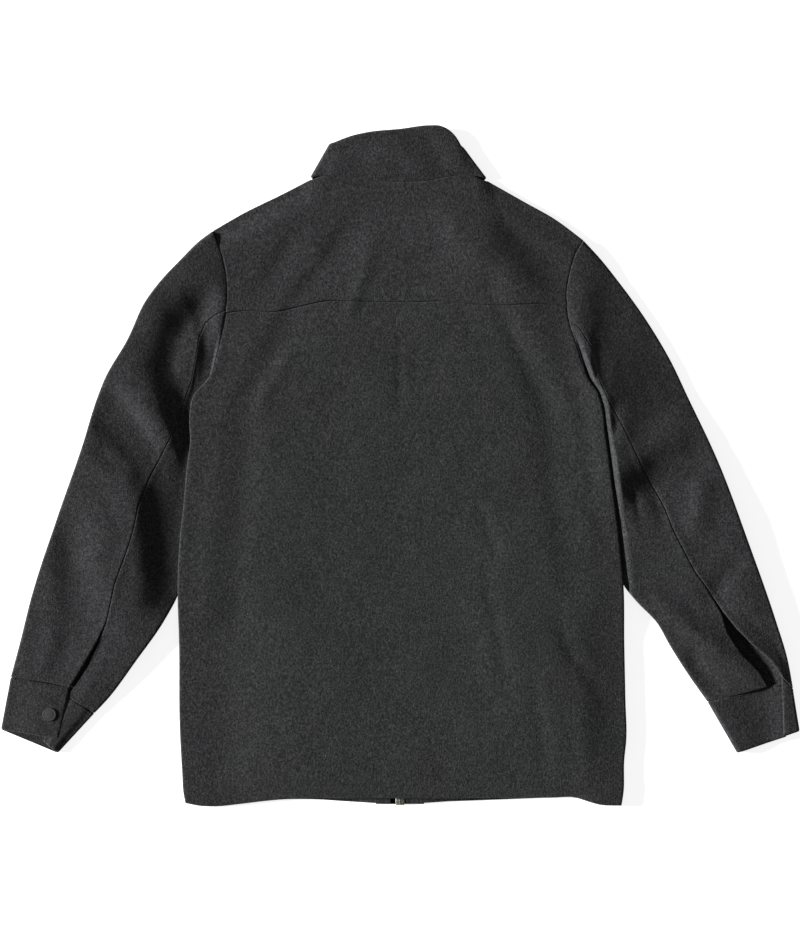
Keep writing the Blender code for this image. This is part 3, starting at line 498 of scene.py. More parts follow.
def front_low(x, y):
    """The underside of a front: on the floor, over the sleeve and over the placket."""
    over = step((54 - np.abs(x)) / 18) * step((272 - y) / 20)
    return tuck(x, y) + (PLACKET_CLOTH + GAP) * over


drop = np.array(FRONT_HEM_DROP)
FRONT_SHARE = 0.478       # the fronts' edges, as a share of the width across
SHOULDER_SHARE = yoke_breaks[1]
for name, shoulder, neck, side in (
    ("front_left", LEFT_SHOULDER, FRONT_NECK_LEFT, -1),
    ("front_right", RIGHT_SHOULDER[::-1], FRONT_NECK_RIGHT, 1),
):
    columns = spaced(265, FRONT_PITCH) * FRONT_SHARE
    if side > 0:
        columns = 1 - columns
    rows = spaced(620, FRONT_PITCH, True, False)
    plan = lower_plan(columns[None, :], rows[:, None])
    plan[..., 1] -= ((1 - rows) ** 6)[:, None] * np.interp(plan[0, :, 0], drop[:, 0], drop[:, 1])[None, :]
    centre = side * ZIP_EDGE
    plan[:, -1, 0] = centre
    share = np.abs(columns - columns[0])
    reach = share / share[-1]
    plan[:, :, 0] += ((reach**8)[None, :]) * (centre - plan[:, -1:, 0])
    # Above the yoke's level the columns fan out to the shoulder and the lower front neck.
    seam_row = plan[-1].copy()
    edge = joined([curve(shoulder), curve(neck)], (0.0, SHOULDER_SHARE, share[-1]))
    top_row = edge(share)
    top_row[-1, 0] = centre
    armhole = left_top if side < 0 else right_top
    fan = []
    for row in spaced(150, FRONT_PITCH, False, True)[1:]:
        between_rows = (1 - row) * seam_row + row * top_row
        bow = armhole(np.array([row]))[0] - ((1 - row) * seam_row[0] + row * top_row[0])
        fan.append(between_rows + bow[None, :] * (1 - step(share / SHOULDER_SHARE))[:, None])
    plan = np.concatenate([plan, np.array(fan)])
    level = front_low(plan[..., 0], plan[..., 1]) + CLOTH / 2
    middles = np.concatenate([plan, level[..., None]], -1)
    cloth(name + "_cloth", name, middles, -up, CLOTH, body_edges,
          flat=(0.285, 0.80), area=0.205, rests_on=["floor"])


# The placket is a long strip on the outside of the fronts that covers the zip from the hem to below
# the neck. It is wool, turned in all round.
PLACKET_HALF = 30.0
PLACKET_ENDS = (-422.3, 248.0)
x, y = np.meshgrid(
    (spaced(2 * PLACKET_HALF, 6) * 2 - 1) * PLACKET_HALF,
    PLACKET_ENDS[0] + spaced(670, 9) * (PLACKET_ENDS[1] - PLACKET_ENDS[0]),
)
middles = np.stack([x, y, np.full(x.shape, PLACKET_CLOTH / 2)], -1)
cloth("placket", "front_placket", middles, -up, PLACKET_CLOTH, [(2.0, 1.8)] * 4,
      flat=(0.080, 0.690), rests_on=["floor"])


# The sleeves. Each is cut in two: the top sleeve runs from the back seam over the outer fold and
# across the underneath to a front seam, and the under sleeve has the rest. The last 100 mm of the
# back seam is left open as the cuff's vent. Near the body the sleeve dips and goes under its side.
FRONT_SEAM = 0.86         # the hidden front seam, across the underneath from the outer fold
VENT_TOP = 0.79           # where the back seam opens, along the sleeve
ARMHOLE_GAP = 0.6         # in plan, between the body's edge and the sleeve's
SEAM_CLOSED = 0.7         # the armhole's edge is drawn up to the body's
LIFT_ROOM = 1.0           # left between a sleeve's lifted underneath and its top
SLEEVES = {
    "left": {
        "armhole": LEFT_ARMHOLE_TOP[::-1] + LEFT_SIDE[-1:-3:-1],
        "under_arm": [(-235, 113), (-235, 101), (-231, 88)],
        "outer": [(-234.6, 293.5), (-250, 281.5), (-273.8, 257.5), (-297.5, 232.5), (-316.3, 207.5),
                  (-340, 157.5), (-368.8, 107.5), (-378.8, 82.5), (-393.8, 32.5), (-428.8, -67.5),
                  (-461.3, -167.5), (-473.8, -217.5), (-486.3, -263.8)],
        "inner": [(-231, 88), (-237, 62), (-244, 30), (-251, -8), (-258.8, -55), (-266.3, -111.3),
                  (-275, -155), (-293.8, -192.5), (-328.8, -242.5), (-366.3, -292.5),
                  (-381.8, -308.8)],
        # Share of the sleeve's length, and the back seam's place across it, from the outer fold to the
        # inner one. Along the vent the under sleeve's edge has a place of its own.
        "seam": [(0, .483), (.05, .423), (.08, .40), (.11, .43), (.133, .517), (.16, .59), (.24, .612),
                 (.37, .563), (.435, .52), (.51, .49), (.585, .52), (.69, .55), (.777, .637),
                 (.83, .645, .655), (.9, .635, .672), (1, .62, .645)],
        "top_end": (.963, .63),
        "under_end": (.985, .54),
        # Share of the length, and how far the outer side, the middle and the inner side rise; then
        # share of the length, and over what width the sleeve rises from under the body's side.
        "levels": [(0, 3.2, 3.2, 3.2), (.12, 10, 16, 15), (.30, 13, 16, 14), (.40, 14, 13, 13),
                   (.50, 12, 13, 13), (.62, 9, 13, 12), (.80, 6, 8, 6), (1, 0, 3, 0)],
        "rise": [(.30, 42), (.38, 62), (.50, 62), (.64, 58), (.85, 45)],
        "lip": 1.0,
        "dive": 1.4,
        "creases": [
            ((90, 28), -12.0, (-130, 202), (-232, 204), (-252, 192), (-266, 176), (-276, 156),
             (-282, 126), (-272, 86), (-252, 58), (-220, 36)),
            ((44, 20), -6.0, (-430, 150), (-396, 100), (-362, 54), (-328, 14), (-305, -30), (-296, -80),
             (-288, -130), (-280, -200)),
            ((9, 18), -3.0, (-376, 116), (-344, 70), (-305, 24), (-276, 0)),
            (9, 1.4, (-339, 92), (-305, 64), (-276, 35)),
            (10, -2.0, (-385, 30), (-362, 6), (-335, -8)),
            ((30, 22), -3.4, (-396, -20), (-410, -90), (-412, -165), (-412, -240), (-420, -280)),
            (12, 1.2, (-430, -190), (-440, -230), (-452, -262)),
        ],
    },
    "right": {
        "armhole": RIGHT_ARMHOLE_TOP[::-1] + RIGHT_SIDE[-1:-4:-1],
        "under_arm": [(230.5, 114), (230, 101), (226, 88)],
        "outer": [(229.6, 282), (251.3, 257.5), (271.3, 232.5), (307.5, 182.5), (337.5, 132.5),
                  (361.3, 82.5), (396.3, 7.5), (433.8, -92.5), (468.8, -192.5), (483.8, -242.5),
                  (490, -277.5)],
        "inner": [(226, 88), (232, 60), (239, 28), (246.3, -8), (255, -55), (267.5, -111.3),
                  (280, -150), (293.8, -167.5), (321, -196.3), (336.3, -223.3), (358.8, -258.8),
                  (384, -294.5)],
        "seam": [(0, .52), (.045, .455), (.107, .45), (.128, .48), (.145, .56), (.193, .573),
                 (.302, .527), (.408, .497), (.517, .453), (.618, .46), (.685, .47), (.743, .443, .445),
                 (.797, .405, .425), (.845, .362, .45), (.91, .275, .41), (.958, .172, .32),
                 (1, .10, .27)],
        "top_end": (.978, .08),
        "under_end": (.985, .07),
        "levels": [(0, 3.2, 4.4, 5.5), (.045, 2, 7.5, 8), (.10, 0, 12, 16), (.20, 0, 12, 13),
                   (.30, 0, 10, 12), (.42, 2, 6.5, 8), (.52, 6, 7, 8), (.64, 9, 8, 5.5),
                   (.80, 9, 6.5, 5), (1, 5.2, 4.5, 4)],
        "rise": [(0, 9), (1, 9)],
        "lip": 3.5,
        "dive": 0.5,
        "creases": [
            ((24, 22), 4.8, (225, -48), (271, -14), (312, 18), (350, 42), (385, 64)),
            (9, -3.0, (262, 84), (268, 55), (262, 20)),
            (7, -1.6, (305, -4), (320, -40), (333, -78)),
            (5, -1.2, (282, -20), (294, -45), (300, -75)),
            ((16, 14), 3.0, (379, -4), (375, -50), (368, -96)),
            (13, -2.2, (432, -108), (410, -135), (382, -175)),
            ((14, 12), 3.0, (305, -145), (330, -176), (365, -209), (427, -249), (455, -290)),
            (13, -2.6, (352, -230), (380, -262), (410, -298)),
        ],
    },
}


def band(layers, rows, thickness):
    """The middle points of a band folded flat, and the ways they face. Each layer has its place in
    plan, its height, the side that faces out (1 up, -1 down) and its shares across; a half turn
    joins each layer to the next."""
    found, facing = [], []
    for v in rows:
        runs = []
        for place, height, side, shares in layers:
            plan = place(v, shares)
            runs.append((plan, height(v, shares, plan), side))
        halves = [abs(after[1][0] - run[1][-1]) / 2 for run, after in zip(runs, runs[1:])]
        cut_runs = []
        for index, (plan, heights, side) in enumerate(runs):
            along = along_line(plan)
            start = halves[index - 1] + thickness / 2 if index > 0 else 0.0
            end = along[-1]
            if index < len(halves):
                end -= halves[index] + thickness / 2
            reach = start + (end - start) * along / along[-1]
            points = [np.interp(reach, along, plan[:, 0]), np.interp(reach, along, plan[:, 1])]
            cut_runs.append(np.stack([*points, heights], -1))
        row, normals = [], []
        for index, points in enumerate(cut_runs):
            side = runs[index][2]
            row += list(points)
            normals += [np.array([0.0, 0.0, side])] * len(points)
            if index == len(halves):
                continue
            first, last = points[-1], cut_runs[index + 1][0]
            ahead = runs[index][0][-1] - (first[:2] + last[:2]) / 2
            ahead /= np.linalg.norm(ahead)
            for turn in (22.5, 45, 67.5, 90, 112.5, 135, 157.5):
                angle = math.radians(turn)
                normal = np.array([*(ahead * math.sin(angle)), side * math.cos(angle)])
                centre = first + (last - first) * turn / 180
                centre[2] = (first[2] + last[2]) / 2
                row.append(centre + normal * halves[index])
                normals.append(normal)
        found.append(row)
        facing.append(normals)
    return np.array(found), np.array(facing)


def straight(start, end):
    """A straight line, as a curve."""
    start, end = np.array(start, float), np.array(end, float)
    return lambda t: start + (end - start) * np.atleast_1d(t)[..., None]


sleeve_nets = {}
for name, shape in SLEEVES.items():
    side = math.copysign(1, shape["outer"][0][0])
    armhole = [(x + side * ARMHOLE_GAP, y) for x, y in shape["armhole"]] + shape["under_arm"]
    armhole = np.array(armhole) - (side * SEAM_CLOSED, 0)
    outer = [armhole[0], *shape["outer"][1:]]
    inner = [armhole[-1], *shape["inner"][1:]]
    net = patch(curve(armhole), straight(outer[-1], inner[-1]), curve(outer), curve(inner))
    seam = np.array([(row[0], row[1], row[-1]) for row in shape["seam"]])
    creases = shape["creases"]
    levels, rise = np.array(shape["levels"]), np.array(shape["rise"])
    sleeve_nets[name] = (net, seam)

    def risen(v, across, plan):
        """How far the sleeve rises from its pressed height, apart from its creases."""
        x, y = plan[:, 0], plan[:, 1]
        outer, middle, inner = (np.interp(v, levels[:, 0], levels[:, i]) for i in (1, 2, 3))
        crown = 2 * outer * (across - .5) * (across - 1) + 4 * middle * across * (1 - across)
        crown = crown + 2 * inner * across * (across - .5)
        below = step((172 - y) / 42) * step((y + 215) / 50)
        width = np.interp(v, rise[:, 0], rise[:, 1])
        uncovered = 1 - below * (1 - step((-side_distance(x, y) + 1) / width))
        return crown + swollen(x, y) * step((.16 - v) / .16), uncovered

    def top_height(v, across, plan):
        x, y = plan[:, 0], plan[:, 1]
        crown, uncovered = risen(v, across, plan)
        near = step(v / .10) * step((1.06 - v) / .16)
        folded = creased(creases, x, y) + uneven(x, y, 70, 0.55, 11) + uneven(x, y, 26, 0.12, 12)
        edge = np.interp(v, seam[:, 0], seam[:, 1])
        allowance = 0.5 * step((.05 - np.abs(across - edge)) / .02)
        loft = ridden(x, y) + uncovered * np.maximum(crown + folded * near, 0.6)
        sewn = (tuck(x, y) - ridden(x, y)) * step((.03 - v) / .03)
        return FOLD + loft + sewn + allowance * near - CLOTH / 2

    def top_layer(edge_column, start, end_share, end_at):
        def across(v, shares):
            edge = np.interp(v, seam[:, 0], seam[:, edge_column])
            return edge + (start - edge) * shares

        def place(v, shares):
            b = across(v, shares)
            reach = np.clip(np.abs(b - start) / abs(end_at - start), 0, 1.2)
            return net(b, v - (1 - end_share) * reach * step((v - VENT_TOP) / (1 - VENT_TOP)))

        def height(v, shares, plan):
            opened = step((v - VENT_TOP + .03) / .09)
            b = across(v, shares)
            off = np.abs(b - np.interp(v, seam[:, 0], seam[:, edge_column]))
            if start > 0.5:
                apart = -shape["dive"] * (1 - step(off / .13))
            else:
                apart = shape["lip"] * (1 - step(off / .20))
            return np.maximum(top_height(v, b, plan) + opened * apart, FOLD - CLOTH / 2)
        return place, height

    def floor_layer(begin, finish):
        def place(v, shares):
            return net(begin + (finish - begin) * shares, np.full(len(shares), v))

        def height(v, shares, plan):
            across = begin + (finish - begin) * shares
            crown, uncovered = risen(v, across, plan)
            beside_fold = step(1 - across / .30) + step((across - .74) / .26) * step((1 - v) / .15)
            lifted = beside_fold * np.maximum(crown, 0) * uncovered * step(v / .10)
            room = np.maximum(top_height(v, across, plan) - 1.5 * CLOTH - LIFT_ROOM, 0)
            return CLOTH / 2 + np.minimum(lifted, room)
        return place, height

    rows = spaced(610, PITCH)
    seam_half = 0.0004
    place, height = top_layer(1, 0.0, *shape["top_end"])
    down_place, down_height = floor_layer(0.0, FRONT_SEAM - seam_half)
    shares = seam_half + (1 - seam_half) * spaced(80, 3.6, True, False)
    layers = [(place, height, 1, shares), (down_place, down_height, -1, spaced(120, 6, False, True))]
    middles, normals = band(layers, rows, CLOTH)
    cloth("sleeve_top_" + name, "top_sleeve_" + name, middles, normals, CLOTH, sewn_edges,
          flat=(0.30, 0.64), area=0.14, rests_on=["floor"])

    place, height = top_layer(2, 1.0, *shape["under_end"])
    down_place, down_height = floor_layer(FRONT_SEAM + seam_half, 1.0)

    def to_seam(layer_function):
        return lambda v, shares, *plan: layer_function(v, 1 - shares, *plan)

    shares = spaced(80, 3.6, False, True) * (1 - 2 * seam_half)
    layers = [(down_place, down_height, -1, spaced(22, 5, True, False)),
              (to_seam(place), to_seam(height), 1, shares)]
    middles, normals = band(layers, rows, CLOTH)
    cloth("sleeve_under_" + name, "under_sleeve_" + name, middles, normals, CLOTH, sewn_edges,
          flat=(0.11, 0.60), area=0.045, rests_on=["top_sleeve_" + name])


# The cuffs: a band of doubled wool round each sleeve's end. Its tab end lies over the vent and closes
# on the lap with one snap. The left cuff is shut and lies flat; the right one stands half open.
CUFFS = {
    "left": {"outer_hem": (-498.5, -329), "tab_hem": (-426.5, -341), "lap_hem": (-446, -344),
             "inner_hem": (-427.5, -358.5), "tab_level": 6.9, "fold_level": 4.05,
             "floor_level": 1.25, "lap": .54, "bulge": 2.2, "ramp": .12, "begin": 0, "tab_at": .63},
    "right": {"outer_hem": (499, -331), "tab_hem": (478.5, -335.5), "lap_hem": (482, -338),
              "inner_hem": (421, -358.5), "tab_level": 9.7, "fold_level": 9.2,
              "floor_level": 4.6, "lap": .07, "bulge": 4.8, "ramp": .85, "begin": 1, "tab_at": .17},
}
THREAD_STEP = 3.4         # from one stitch to the next
STITCH_PROUD = 0.02       # how far a stitch stands clear of the cloth
bpy.ops.object.select_all(action="DESELECT")
bpy.ops.mesh.primitive_cylinder_add(vertices=6, radius=0.3, depth=2.3, end_fill_type="NGON")
one_stitch = bpy.context.object
bpy.ops.object.mode_set(mode="EDIT")
bpy.ops.mesh.select_all(action="SELECT")
bpy.ops.transform.rotate(value=math.pi / 2, orient_axis="Y", center_override=(0, 0, 0))
bpy.ops.object.mode_set(mode="OBJECT")
stitch_points = np.array([list(vertex.co) for vertex in one_stitch.data.vertices])
stitch_faces = [list(face.vertices) for face in one_stitch.data.polygons]
bpy.data.objects.remove(one_stitch, do_unlink=True)
thread = wool_material()
thread.name = "sewing thread"


def stitched(name, line, facing):
    """A row of stitches round the cuff, just proud of its cloth."""
    line = line + facing * (CLOTH / 2 + STITCH_PROUD)
    along = along_line(line)
    points, faces = [], []
    for reach in np.arange(3.0, along[-1] - 3.0, THREAD_STEP):
        middle, normal, before, after = (
            np.array([np.interp(at, along, values[:, i]) for i in range(3)])
            for at, values in ((reach, line), (reach, facing), (reach - 0.8, line), (reach + 0.8, line))
        )
        if normal[2] < 0.2:
            continue
        run = (after - before) / np.linalg.norm(after - before)
        side = np.cross(normal, run)
        faces += [[corner + len(points) for corner in face] for face in stitch_faces]
        points += [middle + run * x + side * y + normal * z for x, y, z in stitch_points]
    new_piece("cuff_stitches_" + name, np.array(points), faces, thread)


for name, cuff in CUFFS.items():
    shape = SLEEVES[name]
    net, seam = sleeve_nets[name]
    end_share, end_at = shape["top_end"]
    outer_seam, inner_seam = net(0.0, 1.0), net(1.0, 1.0)
    tab_seam = net(seam[-1, 1], 1 - (1 - end_share) * min(seam[-1, 1] / end_at, 1.2))
    lap_seam = net(cuff["lap"], .985)
    tab, outer, inner, lap = (
        (at_seam, np.array(cuff[at_hem], float)) for at_seam, at_hem in
        ((tab_seam, "tab_hem"), (outer_seam, "outer_hem"), (inner_seam, "inner_hem"), (lap_seam, "lap_hem"))
    )
    fold, floor, low = cuff["fold_level"], cuff["floor_level"], CLOTH / 2
    tab_width = np.linalg.norm(outer[0] - tab[0])
    # The underneath comes down from the outer fold to the surface, and the lap lies on it.
    coming_down = low + (floor - low) * np.array((1, .8, .25, 0, 0, 0, 0))
    under_track = curve(np.stack([np.linspace(0, 100, 7), coming_down], -1))(np.linspace(0, 1, 80))

    def layer(begin, finish, side, height, shares):
        def place(v, shares):
            head = begin[0] + (finish[0] - begin[0]) * shares[:, None]
            foot = begin[1] + (finish[1] - begin[1]) * shares[:, None]
            return head + (foot - head) * v
        return place, height, side, shares

    def tab_height(v, shares, plan):
        return cuff["tab_level"] + (fold - cuff["tab_level"]) * step((shares - .35) / .65)

    def under_height(v, shares, plan):
        return np.interp(shares * 100, under_track[:, 0], under_track[:, 1])

    def lap_height(v, shares, plan):
        across = 1 - (1 - cuff["lap"]) * shares
        bulge = cuff["bulge"] * step((across - cuff["tab_at"]) / cuff["ramp"])
        bulge = bulge * step(shares / .25 + cuff["begin"])
        return under_height(v, across, plan) + CLOTH + GAP + bulge

    layers = [
        layer(tab, outer, 1, tab_height, spaced(tab_width, 3, True, False)),
        layer(outer, inner, -1, under_height, spaced(120, 4, False, False)),
        layer(inner, lap, 1, lap_height, spaced(60, 3)),
    ]
    middles, normals = band(layers, spaced(66, 2.6), CLOTH)
    cuff_edges = (FREE_EDGE, FREE_EDGE, SEAM_EDGE, FREE_EDGE)
    cloth("cuff_band_" + name, "cuff_" + name, middles, normals, CLOTH, cuff_edges,
          flat=(0.24, 0.078), area=0.0165, rests_on=["floor"])
    stitched(name, middles[4], normals[4])


# The collar stands on the neck seam and is pressed flat here, with its two ends meeting at the zip on
# the underside. Two shells and a stiffener make it thicker than the rest.
COLLAR_CLOTH = 3.5
COLLAR_TOP_BACK = [(-87, 402.5), (-60, 412.5), (-40, 417), (0, 421), (38, 425.5), (50, 425),
                   (62, 419), (72, 408), (77, 397)]
COLLAR_SEAM_BACK = [(-111.5, 362), (-104, 362), (-80, 361.9), (-50, 359), (-30, 356),
                    (0, 355), (30, 356), (60, 361.5), (90, 363.2), (98, 362.5), (107.5, 360.3)]
COLLAR_SEAM_LEFT = [(-12, 276), (-57, 289.5), (-84.5, 318), (-99, 345), (-111.5, 361.8)]
COLLAR_SEAM_RIGHT = [(107.5, 360.3), (95, 344), (79.5, 317), (53, 289.5), (12, 276)]
COLLAR_TOP_LEFT = [(-12, 335), (-45, 342), (-70, 365), (-87, 402.5)]
COLLAR_TOP_RIGHT = [(77, 397), (62, 362), (42, 342), (12, 335)]
NECK_CLOSED = 0.7         # the collar's seam is drawn down to the yoke's
COLLAR_CREASES = [
    (7, -0.9, (-92, 392), (-60, 398), (-25, 396)),
    (9, -0.8, (30, 418), (45, 395), (62, 372)),
    (12, 0.9, (-60, 380), (0, 384), (50, 378)),
]


def collar_layer(seam, top, level, side, shares):
    seam, top = curve(np.array(seam) - (0, NECK_CLOSED)), curve(top)

    def place(v, shares):
        return (1 - v) * seam(shares) + v * top(shares)

    def height(v, shares, plan):
        flat = np.full(len(shares), level)
        if side < 0:
            return flat
        x, y = plan[:, 0], plan[:, 1]
        inside = step(shares / .12) * step((1 - shares) / .12)
        lift = 1.6 + creased(COLLAR_CREASES, x, y) + uneven(x, y, 60, 0.4, 21)
        return flat + inside * np.maximum(lift, 0) * step(v / .25) + 0.3 * step((v - .03) / .05)
    return place, height, side, shares


floor_level, back_level = COLLAR_CLOTH / 2, REST - COLLAR_CLOTH / 2
layers = [
    collar_layer(COLLAR_SEAM_LEFT, COLLAR_TOP_LEFT, floor_level, -1, spaced(140, 5, True, False)),
    collar_layer(COLLAR_SEAM_BACK, COLLAR_TOP_BACK, back_level, 1, spaced(215, 3.4, False, False)),
    collar_layer(COLLAR_SEAM_RIGHT, COLLAR_TOP_RIGHT, floor_level, -1, spaced(140, 5, False, True)),
]
middles, normals = band(layers, spaced(62, 3.2), COLLAR_CLOTH)
collar_edges = (FREE_EDGE, FREE_EDGE, SEAM_EDGE, (3.0, 2.4))
cloth("collar_band", "collar", middles, normals, COLLAR_CLOTH, collar_edges,
      flat=(0.52, 0.068), area=0.030, rests_on=["floor"])


# The zip's two tapes: woven strips between the teeth and the fronts' edges, cut back beside the box and
# the slider. They lie over the placket, and only their lower ends show at the hem.
def plain(name, colour, roughness, metallic, grain=0.002, stretch=(1, 1, 1)):
    """A finish with slight wear or weave in its shade."""
    made, tree, shader, place = new_finish(name)
    worn = mottling(tree, place, grain, 3, 0.8, 1.2, 0.55, stretch)
    tree.links.new(scaled_colour(tree, colour, worn), shader.inputs["Base Color"])
    rough = between(tree, worn, 0.8, 1.2, roughness * 0.9, roughness * 1.1)
    tree.links.new(rough, shader.inputs["Roughness"])
    shader.inputs["Metallic"].default_value = metallic
    return made


ZIP_LEVEL = 3.5           # middle of the zip's thickness
TAPE_ENDS = (-420.5, 334.0)
TAPE_THICK = 0.7
CHAIN_HALF = 3.0
BOX_HALF = 5.5
BOX_ENDS = (-423.5, -411.5)
SLIDER_HALF = 5.0
SLIDER_ENDS = (319.0, 331.0)
tape_cloth = plain("zip tape", (0.012, 0.012, 0.013), 0.85, 0.0, 0.0008, (1, 0.3, 1))
for name, side in (("left", -1), ("right", 1)):
    reach = TAPE_ENDS[1] - TAPE_ENDS[0]
    rows = TAPE_ENDS[0] + np.linspace(0, 1, 190) * reach
    inner_edge = CHAIN_HALF + GAP + (BOX_HALF - CHAIN_HALF) * (rows < BOX_ENDS[1] + 1)
    inner_edge = inner_edge + (SLIDER_HALF - CHAIN_HALF) * (rows > SLIDER_ENDS[0] - 1)
    shares = np.linspace(0, 1, 5)
    if side < 0:
        shares = shares[::-1]
    x = side * (inner_edge[:, None] + (ZIP_EDGE - GAP - inner_edge[:, None]) * shares[None, :])
    y = np.repeat(rows[:, None], len(shares), 1)
    middles = np.stack([x, y, np.full(x.shape, ZIP_LEVEL)], -1)
    cloth("tape_" + name, "zip_tape_" + name, middles, up, TAPE_THICK, [(0.4, 0.2)] * 4, tape_cloth,
          "zip_tape", flat=(0.012, 0.755), area=0.0066, rests_on=["front_placket"])


# The zip's teeth: cast metal, closed, each side's set between the other's. A row is one tooth repeated
# along its tape. The chain shows only at the hem.
zip_metal = plain("zip metal", (0.27, 0.27, 0.22), 0.5, 1.0)
TOOTH_STEP = 2.6
chain_low, chain_high = BOX_ENDS[1] + GAP, SLIDER_ENDS[0] - GAP


def metal_piece(made, name, node, body="coat", finish=zip_metal):
    """Name a finished piece, smooth it, say where it belongs and hide the node it stands for."""
    made.name = name
    made.data.materials.append(finish)
    bpy.ops.object.select_all(action="DESELECT")
    made.select_set(True)
    bpy.context.view_layer.objects.active = made
    bpy.ops.object.shade_smooth_by_angle(angle=math.radians(35))
    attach(made, body)
    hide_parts(node)


def block(size, middle, round_by=0.3, segments=2):
    """A block with rounded edges, its size and place in the mesh, in millimetres of the plan."""
    bpy.ops.object.select_all(action="DESELECT")
    bpy.ops.mesh.primitive_cube_add(size=1)
    made = bpy.context.object
    bpy.ops.object.mode_set(mode="EDIT")
    bpy.ops.mesh.select_all(action="SELECT")
    bpy.ops.transform.resize(value=[length * MM for length in size], center_override=(0, 0, 0))
    place = ((middle[0] - ORIGIN[0]) * MM, (middle[1] - ORIGIN[1]) * MM, middle[2] * MM)
    bpy.ops.transform.translate(value=place)
    bpy.ops.object.mode_set(mode="OBJECT")
    rounding = made.modifiers.new("rounding", "BEVEL")
    rounding.width = round_by * MM
    rounding.segments = segments
    bpy.ops.object.modifier_apply(modifier="rounding")
    return made


def joined_pieces(parts):
    """Several blocks as one mesh."""
    bpy.ops.object.select_all(action="DESELECT")
    for part in parts:
        part.select_set(True)
    bpy.context.view_layer.objects.active = parts[0]
    bpy.ops.object.join()
    return bpy.context.object


for name, side, shift in (("left", -1, 0.0), ("right", 1, TOOTH_STEP / 2)):
    low = chain_low + 0.7 + shift
    tooth = block((3.9, 1.2, 2.3), (side * 1.05, low, ZIP_LEVEL), 0.28, 1)
    row = tooth.modifiers.new("row", "ARRAY")
    row.use_relative_offset = False
    row.use_constant_offset = True
    row.constant_offset_displace = (0, TOOTH_STEP * MM, 0)
    row.count = int((chain_high - low - 0.6) / TOOTH_STEP) + 1
    bpy.ops.object.modifier_apply(modifier="row")
    metal_piece(tooth, "teeth_" + name, "zip_chain")


# The zip's box at the hem: a small cast block that the two tape ends meet in, with a ridge down its
# middle and a lip at its foot.
box_middle = (BOX_ENDS[0] + BOX_ENDS[1]) / 2
box_length = BOX_ENDS[1] - BOX_ENDS[0]
shell = block((2 * BOX_HALF, box_length, 2.0), (0, box_middle, ZIP_LEVEL), 0.6, 3)
ridge = block((1.4, box_length - 2.2, 2.6), (0, box_middle - 0.4, ZIP_LEVEL + 0.05))
lip = block((2 * BOX_HALF - 1.2, 1.3, 2.5), (0, BOX_ENDS[0] + 1.2, ZIP_LEVEL))
metal_piece(joined_pieces([shell, ridge, lip]), "box", "zip_box")


# The slider at the top of the closed zip: two plates held apart by a wedge, and two ears on the
# outside that carry the pull tab. The tab is a flat plate with an oblong hole, and it swings.
slider_middle = (SLIDER_ENDS[0] + SLIDER_ENDS[1]) / 2
slider_length = SLIDER_ENDS[1] - SLIDER_ENDS[0]
outer_plate = block((2 * SLIDER_HALF, slider_length, 1.0), (0, slider_middle, 2.0), 0.35, 2)
inner_plate = block((2 * SLIDER_HALF, slider_length, 1.0), (0, slider_middle, 5.1), 0.35, 2)
wedge = block((2.4, 3.0, 3.4), (0, SLIDER_ENDS[1] - 2.2, 3.55))
rims = [block((0.9, slider_length - 1, 1.3), (side * (SLIDER_HALF - 0.6), slider_middle, level), 0.2, 1)
        for side in (-1, 1) for level in (2.6, 4.5)]
ears = [block((1.1, 5.5, 2.0), (side * (SLIDER_HALF - 0.75), 326.0, 1.25), 0.4, 2) for side in (-1, 1)]
metal_piece(joined_pieces([outer_plate, inner_plate, wedge, *rims, *ears]), "slider", "zip_slider")

TAB_LENGTH, TAB_HALF, TAB_THICK, HINGE_Y, HINGE_Z = 30.0, 3.4, 1.0, 326.0, 0.7
tab_low = HINGE_Y - TAB_LENGTH
bar_middle = tab_low + TAB_LENGTH / 2 - 1.4
bars = [block((1.6, TAB_LENGTH - 4.2, TAB_THICK), (side * (TAB_HALF - 0.8), bar_middle, HINGE_Z))
        for side in (-1, 1)]
foot = block((2 * TAB_HALF, 9.0, TAB_THICK), (0, tab_low + 4.5, HINGE_Z))
waist = block((2 * TAB_HALF, 2.2, TAB_THICK), (0, HINGE_Y - 4.6, HINGE_Z))
neck = block((2.6, 5.0, TAB_THICK * 0.9), (0, HINGE_Y - 2.6, HINGE_Z))
pin = block((6.6, 0.9, 0.9), (0, HINGE_Y, HINGE_Z))
metal_piece(joined_pieces([foot, *bars, waist, neck, pin]), "tab", "zip_pull_tab", "pull_tab")


# The cuffs' snaps: pressed metal caps, enamelled a dull grey a little lighter than the wool. Each has
# a rounded rim round a shallow dome, and holds the tab end down on the lap.
snap_enamel = plain("snap enamel", (0.040, 0.041, 0.042), 0.7, 0.0)
snap_enamel.node_tree.nodes["Principled BSDF"].inputs["Specular IOR Level"].default_value = 0.25
# Each step in from the rim: radius and height, as shares of the cap's.
CAP_STEPS = [(0.97, 0.0), (1.0, 0.25), (1.0, 0.5), (0.96, 0.78), (0.90, 0.86), (0.84, 0.84), (0.80, 0.74),
             (0.76, 0.76), (0.6, 0.86), (0.4, 0.95), (0.2, 0.99)]


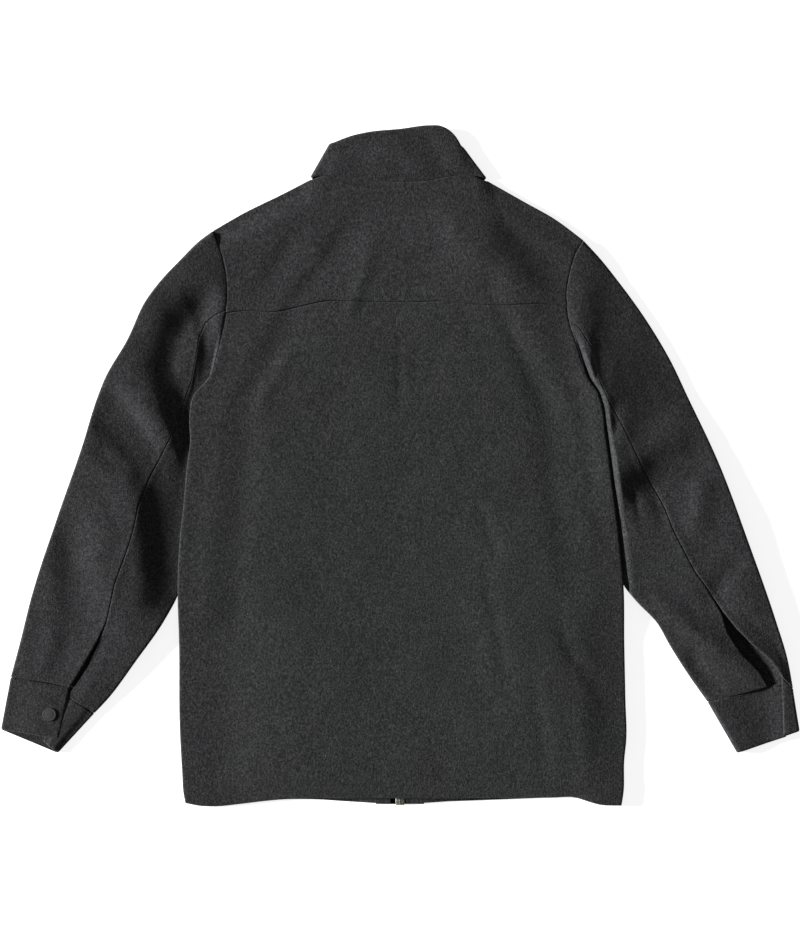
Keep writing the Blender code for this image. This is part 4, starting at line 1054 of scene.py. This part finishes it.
def cap(name, facing):
    """A cap raised ring by ring inside the box of its node."""
    (low_x, low_y, low_z), (high_x, high_y, high_z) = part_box(name)
    radius, height = (high_x - low_x) / 2, (high_z - low_z) * 0.6
    middle = ((low_x + high_x) / 2, (low_y + high_y) / 2)
    base = low_z if facing > 0 else high_z
    bpy.ops.object.select_all(action="DESELECT")
    bpy.ops.mesh.primitive_circle_add(vertices=48, radius=radius * CAP_STEPS[0][0], fill_type="NOTHING")
    made = bpy.context.object
    bpy.ops.object.mode_set(mode="EDIT")
    bpy.ops.mesh.select_all(action="SELECT")
    for (wide, tall), (next_wide, next_tall) in zip(CAP_STEPS, CAP_STEPS[1:]):
        bpy.ops.mesh.extrude_region()
        grow = next_wide / wide
        bpy.ops.transform.resize(value=(grow, grow, 1), center_override=(0, 0, 0))
        bpy.ops.transform.translate(value=(0, 0, facing * (next_tall - tall) * height))
    bpy.ops.mesh.edge_face_add()
    bpy.ops.mesh.select_all(action="DESELECT")
    bpy.ops.mesh.select_non_manifold()
    bpy.ops.mesh.edge_face_add()
    bpy.ops.mesh.select_all(action="SELECT")
    bpy.ops.transform.translate(value=(*middle, base))
    bpy.ops.mesh.normals_make_consistent(inside=False)
    bpy.ops.object.mode_set(mode="OBJECT")
    metal_piece(made, name + "_cap", name, "coat", snap_enamel)


for name, facing in (("snap_left", 1), ("snap_right", -1)):
    cap(name, facing)


# A white table under soft studio light, and a camera straight above it, as in the photograph.
bpy.ops.object.select_all(action="DESELECT")
bpy.ops.mesh.primitive_plane_add(size=40, location=(0, 0, -0.0004))
floor = bpy.context.object
floor.name = "floor"
white, tree, shader, place = new_finish("white table")
shader.inputs["Base Color"].default_value = (0.8, 0.8, 0.8, 1)
shader.inputs["Roughness"].default_value = 0.9
shader.inputs["Emission Color"].default_value = (1, 1, 1, 1)
shader.inputs["Emission Strength"].default_value = 0.8
floor.data.materials.append(white)

world = bpy.data.worlds.new("studio")
world.use_nodes = True
background = world.node_tree.nodes["Background"]
background.inputs["Color"].default_value = (1, 1, 1, 1)
background.inputs["Strength"].default_value = 0.16
bpy.context.scene.world = world

KEY_AZIMUTH, KEY_ELEVATION = math.radians(174), math.radians(16)
key_data = bpy.data.lights.new("softbox", "SUN")
key_data.angle = math.radians(9)
key_data.energy = 10.2
key = bpy.data.objects.new("softbox", key_data)
toward = (math.cos(KEY_ELEVATION) * math.cos(KEY_AZIMUTH),
          math.cos(KEY_ELEVATION) * math.sin(KEY_AZIMUTH), math.sin(KEY_ELEVATION))
key.rotation_euler = Vector(toward).to_track_quat("Z", "Y").to_euler()
bpy.context.scene.collection.objects.link(key)

PIXEL = 0.00125           # metres of the coat in one pixel of the photograph
CAMERA_HEIGHT = 5.0
SENSOR = 36.0
camera_data = bpy.data.cameras.new("camera")
camera_data.sensor_width = SENSOR
camera_data.lens = SENSOR * CAMERA_HEIGHT / (933 * PIXEL)
camera = bpy.data.objects.new("camera", camera_data)
camera.location = (-0.00025, -0.0007, CAMERA_HEIGHT)
bpy.context.scene.collection.objects.link(camera)
bpy.context.scene.camera = camera
bpy.context.scene.view_settings.view_transform = "Standard"
